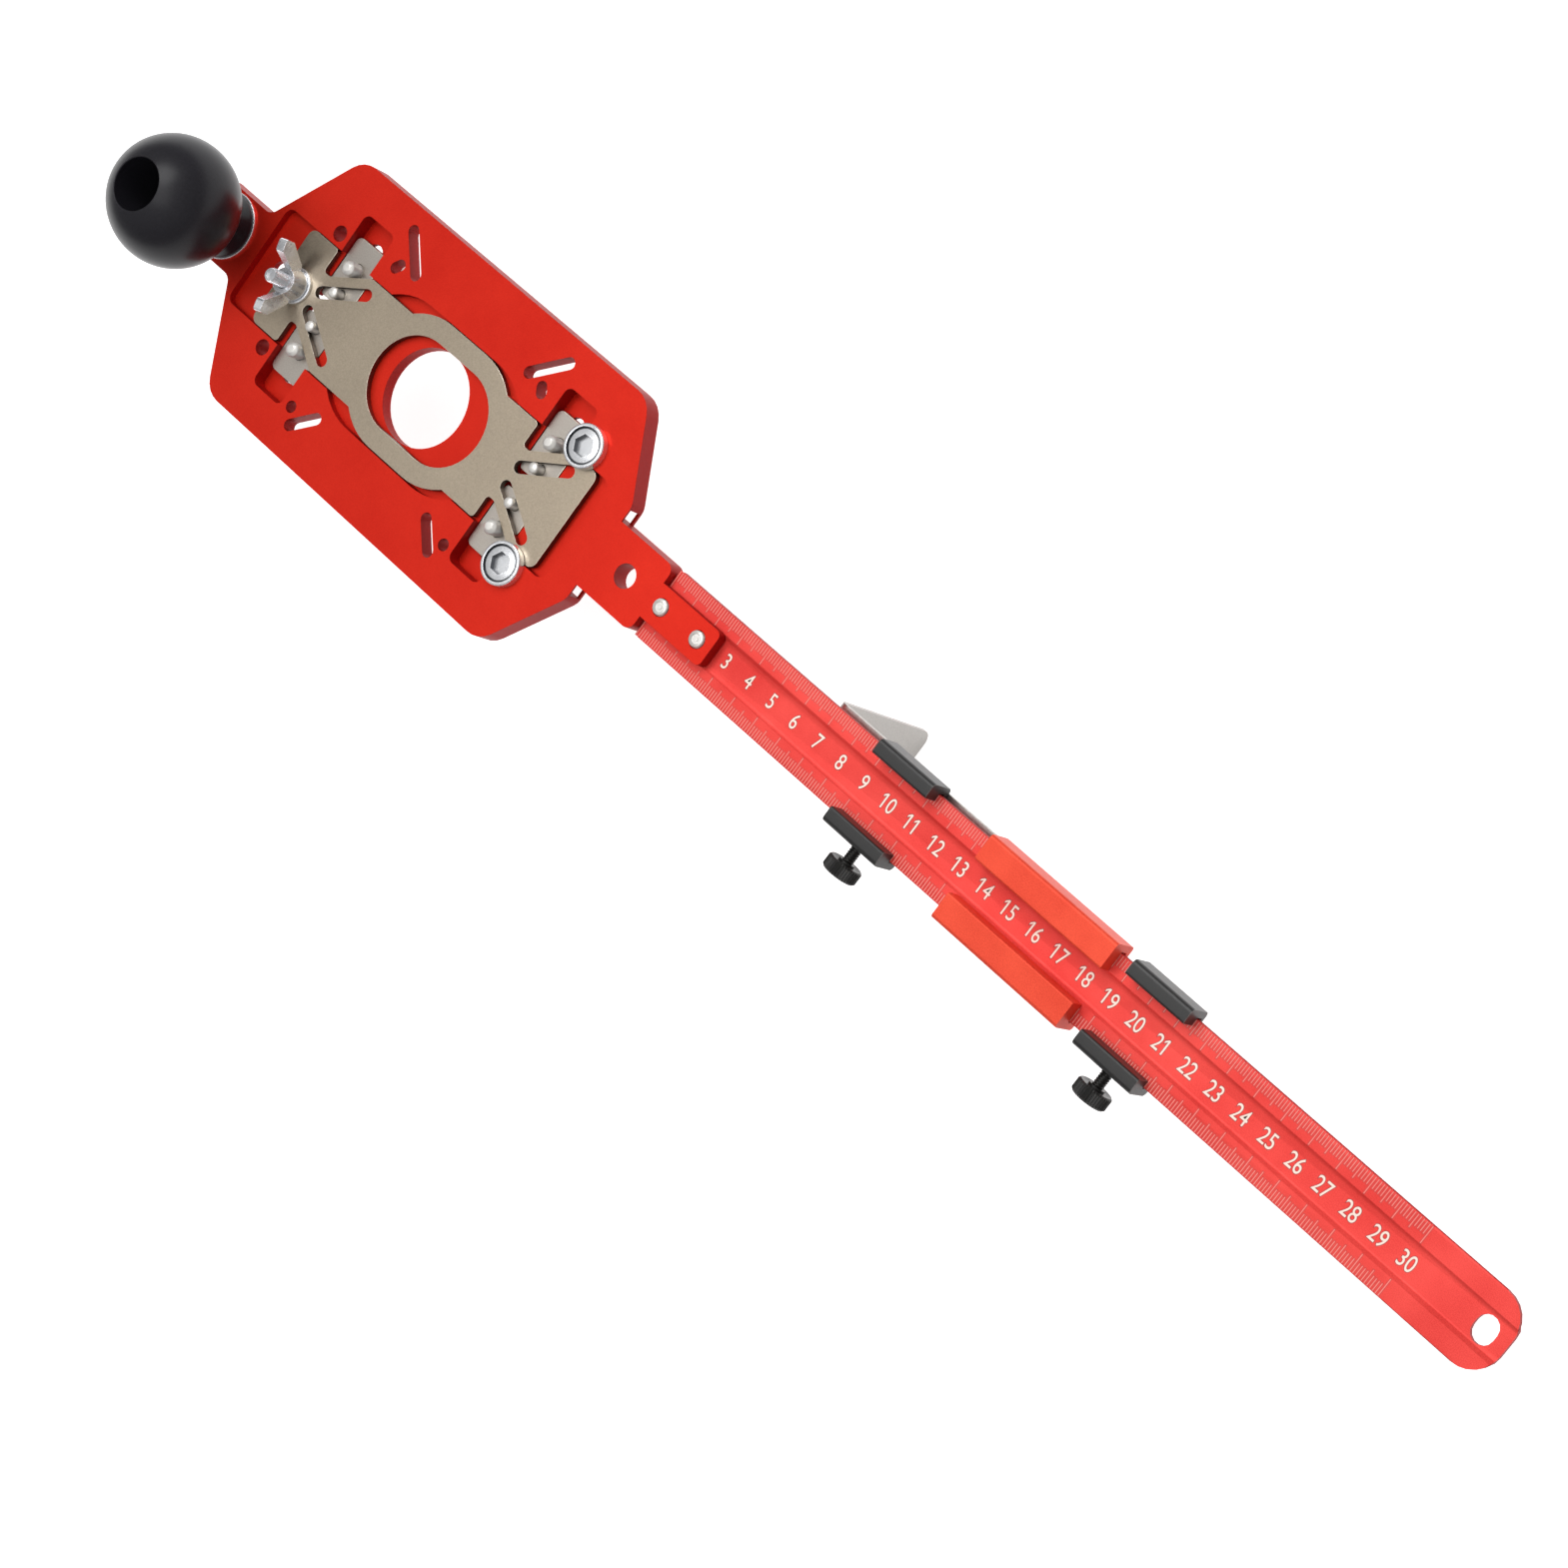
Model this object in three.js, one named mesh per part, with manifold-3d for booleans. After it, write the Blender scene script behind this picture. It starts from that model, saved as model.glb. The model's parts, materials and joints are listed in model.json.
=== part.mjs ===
import * as THREE from "three";
import { mergeVertices } from "three/addons/utils/BufferGeometryUtils.js";
import Module from "manifold-3d";

const wasm = await Module();
wasm.setup();

// Lengths are millimetres. Inside the jig, x runs along the ruler from the centre of the
// router hole, y runs across it, and z goes up from the underside of the base plate.

// Clearances
const slideGap = 0.25;
const seatGap = 0.2;
const buttGap = 0.3;
const sideGap = 0.35;
const overrun = 1;
const weldDistance = 0.001;
const flatTolerance = 0.01;

// Base plate outline
const plateThickness = 7.4;
const plateWidth = 91.4;
const leftSideEnd = 69.7;
const leftTabRoot = 89;
const leftTabWidth = 24.4;
const leftTabEnd = 113.6;
const rightSideEnd = 69.1;
const rightWall = 86.2;
const rightWallWidth = 35;
const rightTabWidth = 23.8;
const rightTabEnd = 110.7;
const tongueWidth = 12.4;
const tongueEnd = 137;
const sideCornerRadius = 9;
const wallCornerRadius = 5;
const tabRootRadius = 4;
const leftTabCornerRadius = 2;
const rightTabCornerRadius = 3;
const tongueCornerRadius = 2;
const originToHole = 86;

// Openings of the base plate
const routerHoleRadius = 16.2;
const fastenerSlotWidth = 4;
const fastenerSlotStart = 28;
const backSlotInset = 7.4;
const frontSlotInset = 10.3;
const headRecessWidth = 7.6;
const headRecessDepth = 1.6;
const oblongHoleX = 35.5;
const oblongHoleY = 26.4;
const oblongHoleWidth = 3.8;
const oblongHoleShift = 2;
const oblongHoleTilt = THREE.MathUtils.degToRad(55);
const roundHoleX = 38.8;
const roundHoleY = 30.5;
const roundHoleRadius = 2.05;
const spareHoleX = 61.5;
const spareHoleY = 22.3;
const spareHoleRadius = 2.7;
const tabHoleX = 98.4;
const tabHoleRadius = 3.9;
const reliefWidth = 4.1;
const reliefDepth = 3.4;
const reliefSillHeight = 1.1;
const reliefSillThickness = 1;
const reliefRoof = 0.8;

// Slide plate with its angled slots, which spreads and closes the four jaws
const camThickness = 2.3;
const camHalfWidth = 18;
const camLeftEnd = 72.05;
const camRightEnd = 70.05;
const camCornerRadius = 2.7;
const camRingRadius = 23.4;
const camOpeningRadius = 16.4;
const camRingLeft = -5.75;
const camRingRight = 11.25;
const camNotchRadius = 1.3;
const camEdgeRadius = 1.3;
const camNotchBack = 8.6;
const camNotchFloor = 9.5;
const camNotchFlat = 2.85;
const camSlotAngle = THREE.MathUtils.degToRad(30);
const camSlotBehind = 5;
const camSlotAhead = 10.6;
const camSlotEndPlay = 0.3;
const camPocketLeftPlay = 1.9;
const camPocketRightPlay = 0.5;
const camPocketCornerRadius = 3;

// Jaws, their pins and roller bolts
const jawStation = 50;
const jawWidth = 13.7;
const jawThickness = 2.4;
const jawPinOffset = 6.6;
const jawPinToEnd = 3.4;
const jawPinRadius = 1.8;
const jawPinChamfer = 0.7;
const jawPinStandout = 2;
const jawPinToBolt = 9.3;
const jawBoltToEnd = 9.7;
const jawCornerRadius = 2.2;
const jawInnerCornerRadius = 1.2;
const jawPocketEndPlay = 1.4;
const jawPocketCornerRadius = 2.5;
const jawSlotEndPlay = 0.4;
const jawSlotOuterPlay = 1.7;
const jawSlotSidePlay = 0.75;
const rollerBoltRadius = 2.5;
const rollerBoltStandout = 5.5;
const rollerBoltChamfer = 0.6;
const rollerBoltHeadRadius = 4.35;
const rollerBoltHeadHeight = 2.6;
const rollerBoltSocketRadius = 2.3;
const rollerBoltSocketDepth = 1.5;

// Rollers
const rollerRadius = 8.5;
const rollerHeight = 20;
const rollerTopGap = 0.6;
const rollerBoreGap = 0.3;
const rollerRecessRadius = 6.35;
const rollerRecessDepth = 3.5;
const rollerEdgeRound = 0.7;

// Clamp bolt, washer and wing nut of the slide plate
const clampBoltX = -64.3;
const clampBoltRadius = 2.5;
const clampBoltHeight = 14.4;
const clampBoltChamfer = 0.6;
const clampHeadFlat = 4;
const clampHeadThickness = 1.9;
const clampSlotPlay = 0.5;
const clampSlotEndPlay = 0.5;
const washerRadius = 6;
const washerThickness = 1;
const nutBaseRadius = 5.2;
const nutTopRadius = 4.2;
const nutHeight = 6;
const nutCollarHeight = 1.2;
const wingReach = 12.3;
const wingElbow = 6.4;
const wingTop = 13.2;
const wingFoot = 1.4;
const wingThickness = 3;
const wingTipWidth = 4;
const wingTipRadius = 1.2;
const wingTurn = THREE.MathUtils.degToRad(106.6);

// Truss-head screws that hold the slide plate down
const retainerX = 61.2;
const retainerY = 22.2;
const retainerHeadRadius = 7.15;
const retainerHeadHeight = 2.9;
const retainerEdgeRound = 0.6;
const retainerRimWidth = 1.3;
const retainerDishDepth = 0.7;
const retainerShankRadius = 2.7;
const retainerShankLength = 6.2;
const retainerSocketRadius = 4;
const retainerSocketDepth = 1.8;

// Knob with its ferrule and screw
const knobX = -101.1;
const knobBallRadius = 21.5;
const knobBallHeight = 28.3;
const knobNeckRadius = 9.4;
const knobFootRadius = 10.9;
const knobFootHeight = 1.6;
const knobBlendHeight = 5;
const knobBoreRadius = 8.7;
const knobBoreRound = 0.4;
const knobBoreFloor = 19;
const ferruleRadius = 11.5;
const ferruleHeight = 1;
const ferruleChamfer = 0.3;
const knobScrewRadius = 3;
const knobScrewHeadRadius = 5;
const knobScrewHeadHeight = 6;
const knobScrewSocketRadius = 2.9;
const knobScrewSocketDepth = 3;
const knobScrewTipHeight = 0.8;

// Ruler
const rulerLength = 334.8;
const rulerWidth = 24.2;
const rulerThickness = 2;
const rulerFloorBottom = 0.8;
const rulerFloorHalf = 4.7;
const rulerRise = 1.1;
const rulerSlopeRun = 1.3;
const rulerStepShift = 0.73;
const rulerStartRadius = 1.5;
const rulerTipRadius = 9;
const hangHoleInset = 7.4;
const hangHoleLength = 6.9;
const hangHoleWidth = 8.7;
const rulerScrewInset = 3.8;
const rulerScrewPitch = 16.4;
const rulerScrewRadius = 2.7;
const rulerScrewHeadRadius = 4.2;
const rulerScrewHeadHeight = 1.3;
const rulerScrewStandout = 0.9;
const rulerScrewChamfer = 0.4;

// Slider block
const blockStart = 246.4;
const blockLength = 49.9;
const blockHalfWidth = 14.8;
const blockLipInner = 6.05;
const blockLipHeight = 6.2;
const blockWeb = 2.05;
const blockCornerRadius = 1.2;

// Stop clamps on both sides of the block, with their thumb screws
const clampHalfWidth = 14.85;
const clampLipInner = 9.75;
const clampLipHeight = 6.7;
const clampWeb = 1.55;
const clampLength = 22.3;
const clampCornerRadius = 1.6;
const innerClampGap = 23.1;
const outerClampGap = 6.6;
const thumbShankRadius = 1.9;
const thumbShankLength = 8.6;
const thumbHeadRadius = 5.7;
const thumbHeadLength = 4.4;
const thumbHeadChamfer = 0.5;
const thumbFluteDepth = 0.45;
const thumbFlutes = 24;

// Stop bracket under the block and its two screws
const bracketReach = 69.4;
const bracketThickness = 1.6;
const bracketHalfWidth = 13.1;
const bracketBlockCover = 42.6;
const bracketDrop = 61;
const bracketBendRadius = 1.6;
const bracketLegCornerRadius = 4.5;
const bracketEndCornerRadius = 2;
const bracketScrewInset = 9.1;
const bracketScrewPitch = 28;
const bracketScrewRadius = 2;
const bracketScrewHeadRadius = 4;
const bracketScrewHeadHeight = 2.5;
const bracketScrewRimShare = 0.35;

// Steps round a full turn for arcs and turned pieces
const fineSteps = 48;
const plainSteps = 24;
const smallSteps = 14;
const hexSides = 6;
const turn = 2 * Math.PI;
const quarter = Math.PI / 2;

// Heights that several pieces share
const rulerFloorTop = rulerFloorBottom + rulerThickness;
const rulerTop = rulerFloorTop + rulerRise;
const rulerStart = rightTabEnd + buttGap;
const rulerEnd = rulerStart + rulerLength;
const camTop = plateThickness - slideGap;
const camBottom = camTop - camThickness;
const camPocketFloor = camBottom - slideGap;
const jawTop = camPocketFloor;
const jawBottom = jawTop - jawThickness;
const jawPocketFloor = jawBottom - slideGap;
const rollerTop = -rollerTopGap;
const rollerBottom = rollerTop - rollerHeight;
const blockBottom = rulerFloorBottom - slideGap - blockWeb;
const bracketBottom = blockBottom - bracketThickness;
const nutSeat = camTop + washerThickness + slideGap;
const thumbAxisHeight = rulerTop - rulerThickness / 2;

// Places that follow from other sizes
const backSlotEnd = plateWidth / 2 - backSlotInset;
const frontSlotEnd = plateWidth / 2 - frontSlotInset;
const hangHoleX = rulerEnd - hangHoleInset;
const innerClampStart = blockStart - innerClampGap - clampLength;
const outerClampStart = blockStart + blockLength + outerClampGap;
const bracketStart = blockStart - bracketReach;

// Travel of the slide plate to each side, and what it moves each jaw
const camTravelLeft = camSlotAhead - camSlotEndPlay;
const camTravelRight = camSlotBehind - camSlotEndPlay;
const jawTravelOut = camTravelLeft * Math.tan(camSlotAngle);
const jawTravelIn = camTravelRight * Math.tan(camSlotAngle);
const jawInnerEnd = jawPinOffset - jawPinToEnd;
const rollerBoltY = jawPinOffset + jawPinToBolt;
const jawOuterEnd = rollerBoltY + jawBoltToEnd;

// Points of an arc round (x, y), with both ends
function arc(x, y, radius, from, to, stepsPerTurn) {
  const count = Math.max(2, Math.round((Math.abs(to - from) / turn) * stepsPerTurn));
  return Array.from({ length: count + 1 }, (_, i) => {
    const angle = from + ((to - from) * i) / count;
    return new THREE.Vector2(x + radius * Math.cos(angle), y + radius * Math.sin(angle));
  });
}

function circle(x, y, radius, steps) {
  return new THREE.Shape(arc(x, y, radius, 0, turn, steps).slice(0, -1));
}

// Closed outline through counter-clockwise corners [x, y, radius]
function outline(corners) {
  const points = corners.flatMap(([x, y, radius], i) => {
    const corner = new THREE.Vector2(x, y);
    const before = new THREE.Vector2(...corners.at(i - 1).slice(0, 2));
    const after = new THREE.Vector2(...corners[(i + 1) % corners.length].slice(0, 2));
    if (!radius) return [corner];
    const back = before.sub(corner).normalize();
    const ahead = after.sub(corner).normalize();
    const half = back.angleTo(ahead) / 2;
    const middle = back.clone().add(ahead).normalize();
    const centre = corner.clone().addScaledVector(middle, radius / Math.sin(half));
    const from = Math.atan2(-middle.y, -middle.x);
    const sweep = (quarter - half) * Math.sign(ahead.cross(back));
    return arc(centre.x, centre.y, radius, from - sweep, from + sweep, plainSteps);
  });
  return new THREE.Shape(points);
}

function rectangle(x0, x1, y0, y1, radius = 0) {
  return outline([
    [x0, y0, radius],
    [x1, y0, radius],
    [x1, y1, radius],
    [x0, y1, radius],
  ]);
}

// Slot with round ends about two centres
function slot(xa, ya, xb, yb, radius, steps = smallSteps) {
  const heading = Math.atan2(yb - ya, xb - xa);
  return new THREE.Shape([
    ...arc(xb, yb, radius, heading - quarter, heading + quarter, steps),
    ...arc(xa, ya, radius, heading + quarter, heading + 3 * quarter, steps),
  ]);
}

function mirroredX(shape) {
  const points = shape.getPoints().map((p) => new THREE.Vector2(-p.x, p.y));
  return new THREE.Shape(points.reverse());
}

function mirroredY(shape) {
  const points = shape.getPoints().map((p) => new THREE.Vector2(p.x, -p.y));
  return new THREE.Shape(points.reverse());
}

// Solid of a closed geometry, with its shared vertices welded and its pinched faces dropped
function solidOf(geometry) {
  geometry.deleteAttribute("normal");
  geometry.deleteAttribute("uv");
  const welded = mergeVertices(geometry, weldDistance);
  const index = Array.from(welded.index.array);
  const triVerts = [];
  for (let i = 0; i < index.length; i += 3) {
    const [a, b, c] = index.slice(i, i + 3);
    if (a !== b && b !== c && c !== a) triVerts.push(a, b, c);
  }
  const vertProperties = welded.attributes.position.array;
  return new wasm.Manifold(
    new wasm.Mesh({ numProp: 3, vertProperties, triVerts: new Uint32Array(triVerts) }),
  );
}

function geometryOf(solid) {
  const { vertProperties, triVerts } = solid.getMesh();
  const geometry = new THREE.BufferGeometry();
  geometry.setAttribute("position", new THREE.BufferAttribute(vertProperties, 3));
  geometry.setIndex(new THREE.BufferAttribute(triVerts, 1));
  geometry.computeVertexNormals();
  return geometry;
}

// Solids of an outline swept along each axis
function extruded(shape, length) {
  return new THREE.ExtrudeGeometry(shape, { depth: length, bevelEnabled: false });
}

function upright(shape, z0, z1) {
  return solidOf(extruded(shape, z1 - z0).translate(0, 0, z0));
}

function along(shape, x0, x1) {
  const turned = new THREE.Matrix4().makeBasis(
    new THREE.Vector3(0, 1, 0),
    new THREE.Vector3(0, 0, 1),
    new THREE.Vector3(1, 0, 0),
  );
  return solidOf(extruded(shape, x1 - x0).applyMatrix4(turned).translate(x0, 0, 0));
}

function across(shape, y0, y1) {
  const turned = new THREE.Matrix4().makeBasis(
    new THREE.Vector3(1, 0, 0),
    new THREE.Vector3(0, 0, 1),
    new THREE.Vector3(0, -1, 0),
  );
  return solidOf(extruded(shape, y1 - y0).applyMatrix4(turned).translate(0, y1, 0));
}

// Solid turned about the z axis from a profile of [radius, height] points
function revolved(profile, steps) {
  const points = profile.map(([r, z]) => new THREE.Vector2(r, z));
  if (points[0].x > 0) points.push(points[0].clone());
  if (THREE.ShapeUtils.area(points) < 0) points.reverse();
  return solidOf(new THREE.LatheGeometry(points, steps).rotateX(quarter));
}

function cutAway(solid, tools) {
  return tools.reduce((left, tool) => left.subtract(tool), solid);
}

function joined(solids) {
  return solids.reduce((sum, solid) => sum.add(solid));
}

// Flat region inside an outline
function section(shape) {
  return new wasm.CrossSection([shape.getPoints().map((p) => [p.x, p.y])]);
}

// The same region with its outward corners rounded
function roundedOutside(region, radius) {
  const shrunk = region.offset(-radius, "Round", overrun, plainSteps);
  return shrunk.offset(radius, "Round", overrun, plainSteps).simplify(flatTolerance);
}

function finish(color, roughness, metalness) {
  return new THREE.MeshStandardMaterial({ color, roughness, metalness });
}

function piece(name, solid, material) {
  const mesh = new THREE.Mesh(geometryOf(solid), material);
  mesh.name = name;
  return mesh;
}

const redPaint = () => finish(0xd42a1e, 0.38, 0.35);
const redAnodised = () => finish(0xe2463a, 0.35, 0.5);
const plateSteel = () => finish(0xb4ac98, 0.42, 0.9);
const jawSteel = () => finish(0xb4b0a8, 0.45, 0.9);
const zinc = () => finish(0xc9c9c4, 0.25, 1);
const darkSteel = () => finish(0x2a2a2b, 0.4, 0.8);
const blackPlastic = () => finish(0x2c2c2e, 0.5, 0);
const blackAlloy = () => finish(0x3b3b3a, 0.45, 0.4);
const whiteNylon = () => finish(0xe6e4e0, 0.5, 0);

// Base plate

function plateBlank() {
  const half = plateWidth / 2;
  const right = [
    [rightTabEnd, -rightTabWidth / 2, rightTabCornerRadius],
    [rightTabEnd, -tongueWidth / 2, 0],
    [tongueEnd, -tongueWidth / 2, tongueCornerRadius],
    [tongueEnd, tongueWidth / 2, tongueCornerRadius],
    [rightTabEnd, tongueWidth / 2, 0],
    [rightTabEnd, rightTabWidth / 2, rightTabCornerRadius],
  ];
  return upright(
    outline([
      [-leftTabEnd, -leftTabWidth / 2, leftTabCornerRadius],
      [-leftTabRoot, -leftTabWidth / 2, tabRootRadius],
      [-leftSideEnd, -half, sideCornerRadius],
      [rightSideEnd, -half, sideCornerRadius],
      [rightWall, -rightWallWidth / 2, wallCornerRadius],
      [rightWall, -rightTabWidth / 2, 0],
      ...right,
      [rightWall, rightTabWidth / 2, 0],
      [rightWall, rightWallWidth / 2, wallCornerRadius],
      [rightSideEnd, half, sideCornerRadius],
      [-leftSideEnd, half, sideCornerRadius],
      [-leftTabRoot, leftTabWidth / 2, tabRootRadius],
      [-leftTabEnd, leftTabWidth / 2, leftTabCornerRadius],
    ]),
    0,
    plateThickness,
  );
}

// Shallow pocket that the slide plate runs in: a band, and a ring round the router hole
function camPocket() {
  const left = -camLeftEnd - camTravelLeft - camPocketLeftPlay;
  const right = camRightEnd + camTravelRight + camPocketRightPlay;
  const halfWidth = camHalfWidth + sideGap;
  const ringLeft = camRingLeft - camTravelLeft - seatGap;
  const ringRight = camRingRight + camTravelRight + seatGap;
  const ringRadius = camRingRadius + sideGap;
  const top = plateThickness + overrun;
  return joined([
    upright(
      rectangle(left, right, -halfWidth, halfWidth, camPocketCornerRadius),
      camPocketFloor,
      top,
    ),
    upright(slot(ringLeft, 0, ringRight, 0, ringRadius, fineSteps), camPocketFloor, top),
  ]);
}

// Cross channel of one jaw pair, and the two slots in its floor for the roller bolts
function jawPocket(station) {
  const halfWidth = jawWidth / 2 + sideGap;
  const end = jawOuterEnd + jawTravelOut + jawPocketEndPlay;
  const inner = rollerBoltY - jawTravelIn - jawSlotEndPlay;
  const outer = rollerBoltY + jawTravelOut + jawSlotOuterPlay;
  const slotRadius = rollerBoltRadius + jawSlotSidePlay;
  const channel = rectangle(
    station - halfWidth,
    station + halfWidth,
    -end,
    end,
    jawPocketCornerRadius,
  );
  const floorSlot = slot(station, inner, station, outer, slotRadius);
  const top = jawPocketFloor + overrun;
  return joined([
    upright(channel, jawPocketFloor, plateThickness + overrun),
    upright(floorSlot, -overrun, top),
    upright(mirroredY(floorSlot), -overrun, top),
  ]);
}

// Slot for the clamp bolt, with a wider groove below for its head
function clampSlot() {
  const left = clampBoltX - camTravelLeft - clampSlotEndPlay;
  const right = clampBoltX + camTravelRight + clampSlotEndPlay;
  const grooveReach = clampHeadFlat / Math.cos(Math.PI / hexSides) + seatGap;
  const grooveHalf = clampHeadFlat + slideGap;
  const groove = rectangle(left - grooveReach, right + grooveReach, -grooveHalf, grooveHalf);
  return joined([
    upright(slot(left, 0, right, 0, clampBoltRadius + clampSlotPlay), 0, plateThickness),
    upright(groove, -overrun, clampHeadThickness + slideGap + seatGap),
  ]);
}

// Slots and holes that take the screws of a router base, with recesses for their heads below
function fastenerCuts() {
  const diagonal = (end, radius) => slot(fastenerSlotStart, fastenerSlotStart, end, end, radius);
  const oblong = (radius) => {
    const dx = (oblongHoleShift / 2) * Math.cos(oblongHoleTilt);
    const dy = (oblongHoleShift / 2) * Math.sin(oblongHoleTilt);
    return slot(
      oblongHoleX + dx,
      oblongHoleY - dy,
      oblongHoleX - dx,
      oblongHoleY + dy,
      radius,
    );
  };
  const round = (radius) => circle(roundHoleX, roundHoleY, radius, smallSteps);
  const recess = headRecessWidth / 2;
  const holes = [diagonal(backSlotEnd, fastenerSlotWidth / 2), oblong(oblongHoleWidth / 2)];
  const frontHoles = [diagonal(frontSlotEnd, fastenerSlotWidth / 2), round(roundHoleRadius)];
  const recesses = [diagonal(backSlotEnd, recess), oblong(recess)];
  const frontRecesses = [diagonal(frontSlotEnd, recess), round(recess)];
  const through = (shape) => upright(shape, -overrun, plateThickness + overrun);
  const below = (shape) => upright(shape, -overrun, headRecessDepth);
  const bothSides = (shapes) => shapes.flatMap((shape) => [shape, mirroredX(shape)]);
  return [
    ...bothSides([...holes, ...frontHoles.map(mirroredY)]).map(through),
    ...bothSides([...recesses, ...frontRecesses.map(mirroredY)]).map(below),
  ];
}

// Window through the wall beside each root of the right tab, open below behind a low sill
function reliefCuts() {
  const wall = rightTabWidth / 2;
  const roof = plateThickness - reliefRoof;
  const inner = rightWall - reliefSillThickness;
  const well = rectangle(inner - reliefDepth, inner, wall, wall + reliefWidth);
  const window = rectangle(inner - overrun, rightWall + overrun, wall, wall + reliefWidth);
  const cut = [
    [well, -overrun],
    [window, reliefSillHeight],
  ];
  return cut.flatMap(([shape, bottom]) => [
    upright(shape, bottom, roof),
    upright(mirroredY(shape), bottom, roof),
  ]);
}

// Room under the tongue for the ruler, following the steps of its upper side
function tongueRelief() {
  const top = rulerTop + slideGap;
  const floor = rulerFloorTop + slideGap;
  const side = rulerWidth / 2 + overrun;
  const slopeEnd = rulerFloorHalf + rulerSlopeRun;
  const section = outline([
    [-side, -overrun, 0],
    [side, -overrun, 0],
    [side, top, 0],
    [slopeEnd, top, 0],
    [rulerFloorHalf, floor, 0],
    [-rulerFloorHalf, floor, 0],
    [-slopeEnd, top, 0],
    [-side, top, 0],
  ]);
  return along(section, rightTabEnd, tongueEnd + overrun);
}

function basePlate() {
  const through = (x, y, radius, steps) =>
    upright(circle(x, y, radius, steps), -overrun, plateThickness + overrun);
  const retainerHole = retainerShankRadius + seatGap;
  const rulerScrewHole = rulerScrewRadius + seatGap;
  const sides = [-1, 1];
  return cutAway(plateBlank(), [
    camPocket(),
    jawPocket(-jawStation),
    jawPocket(jawStation),
    clampSlot(),
    tongueRelief(),
    through(0, 0, routerHoleRadius, fineSteps),
    through(tabHoleX, 0, tabHoleRadius, plainSteps),
    through(knobX, 0, knobScrewRadius + seatGap, smallSteps),
    ...rulerScrewPlaces().map((x) => through(x, 0, rulerScrewHole, smallSteps)),
    ...sides.map((side) => through(-spareHoleX, side * spareHoleY, spareHoleRadius, smallSteps)),
    ...sides.map((side) => through(retainerX, side * retainerY, retainerHole, smallSteps)),
    ...fastenerCuts(),
    ...reliefCuts(),
  ]);
}

// Slide plate

// Open notch beside the angled slots of one jaw pair, where the roller bolts stand
function camNotch(station) {
  const outside = camRingRadius + overrun;
  const start = station - camNotchBack;
  const foot = start + camNotchFlat;
  const rise = outside - camNotchFloor;
  return outline([
    [start, camNotchFloor, camNotchRadius],
    [foot, camNotchFloor, camNotchRadius],
    [foot + rise / Math.tan(camSlotAngle), outside, 0],
    [start, outside, 0],
  ]);
}

function camSlotShape(station) {
  const slope = Math.tan(camSlotAngle);
  const radius = jawPinRadius + buttGap;
  return slot(
    station - camSlotBehind,
    jawPinOffset - camSlotBehind * slope,
    station + camSlotAhead,
    jawPinOffset + camSlotAhead * slope,
    radius,
  );
}

function camPlate() {
  const notches = [-jawStation, jawStation].map(camNotch);
  const angledSlots = [-jawStation, jawStation].map(camSlotShape);
  const bothSides = (shapes) => [...shapes, ...shapes.map(mirroredY)];
  const band = rectangle(
    -camLeftEnd,
    camRightEnd,
    -camHalfWidth,
    camHalfWidth,
    camCornerRadius,
  );
  const ring = slot(camRingLeft, 0, camRingRight, 0, camRingRadius, fineSteps);
  const flat = cutAway(joined([band, ring].map(section)), bothSides(notches).map(section));
  const blank = roundedOutside(flat, camEdgeRadius)
    .extrude(camThickness)
    .translate([0, 0, camBottom]);
  const cuts = [
    slot(camRingLeft, 0, camRingRight, 0, camOpeningRadius, fineSteps),
    circle(clampBoltX, 0, clampBoltRadius + seatGap, smallSteps),
    ...bothSides(angledSlots),
  ];
  return cutAway(
    blank,
    cuts.map((shape) => upright(shape, camBottom - overrun, camTop + overrun)),
  );
}

// Jaws and what they carry, drawn for the back side and turned half a turn for the front

function jaw() {
  const half = jawWidth / 2;
  const blank = outline([
    [-half, jawInnerEnd, jawInnerCornerRadius],
    [half, jawInnerEnd, jawInnerCornerRadius],
    [half, jawOuterEnd, jawCornerRadius],
    [-half, jawOuterEnd, jawCornerRadius],
  ]);
  const holes = [
    circle(0, jawPinOffset, jawPinRadius + seatGap, smallSteps),
    circle(0, rollerBoltY, rollerBoltRadius + seatGap, smallSteps),
  ];
  return cutAway(
    upright(blank, jawBottom, jawTop),
    holes.map((hole) => upright(hole, jawBottom - overrun, jawTop + overrun)),
  );
}

function jawPin() {
  const tip = camTop + jawPinStandout;
  return revolved(
    [
      [0, jawBottom],
      [jawPinRadius, jawBottom],
      [jawPinRadius, tip - jawPinChamfer],
      [jawPinRadius - jawPinChamfer, tip],
      [0, tip],
    ],
    smallSteps,
  );
}

function rollerBolt() {
  const recessFloor = rollerBottom + rollerRecessDepth;
  const headTop = recessFloor - seatGap;
  const headBottom = headTop - rollerBoltHeadHeight;
  const tip = jawTop + rollerBoltStandout;
  const blank = revolved(
    [
      [0, headBottom],
      [rollerBoltHeadRadius - rollerBoltChamfer, headBottom],
      [rollerBoltHeadRadius, headBottom + rollerBoltChamfer],
      [rollerBoltHeadRadius, headTop],
      [rollerBoltRadius, headTop],
      [rollerBoltRadius, tip - rollerBoltChamfer],
      [rollerBoltRadius - rollerBoltChamfer, tip],
      [0, tip],
    ],
    smallSteps,
  );
  const socket = circle(0, 0, rollerBoltSocketRadius, hexSides);
  return blank.subtract(
    upright(socket, headBottom - overrun, headBottom + rollerBoltSocketDepth),
  );
}

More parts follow.
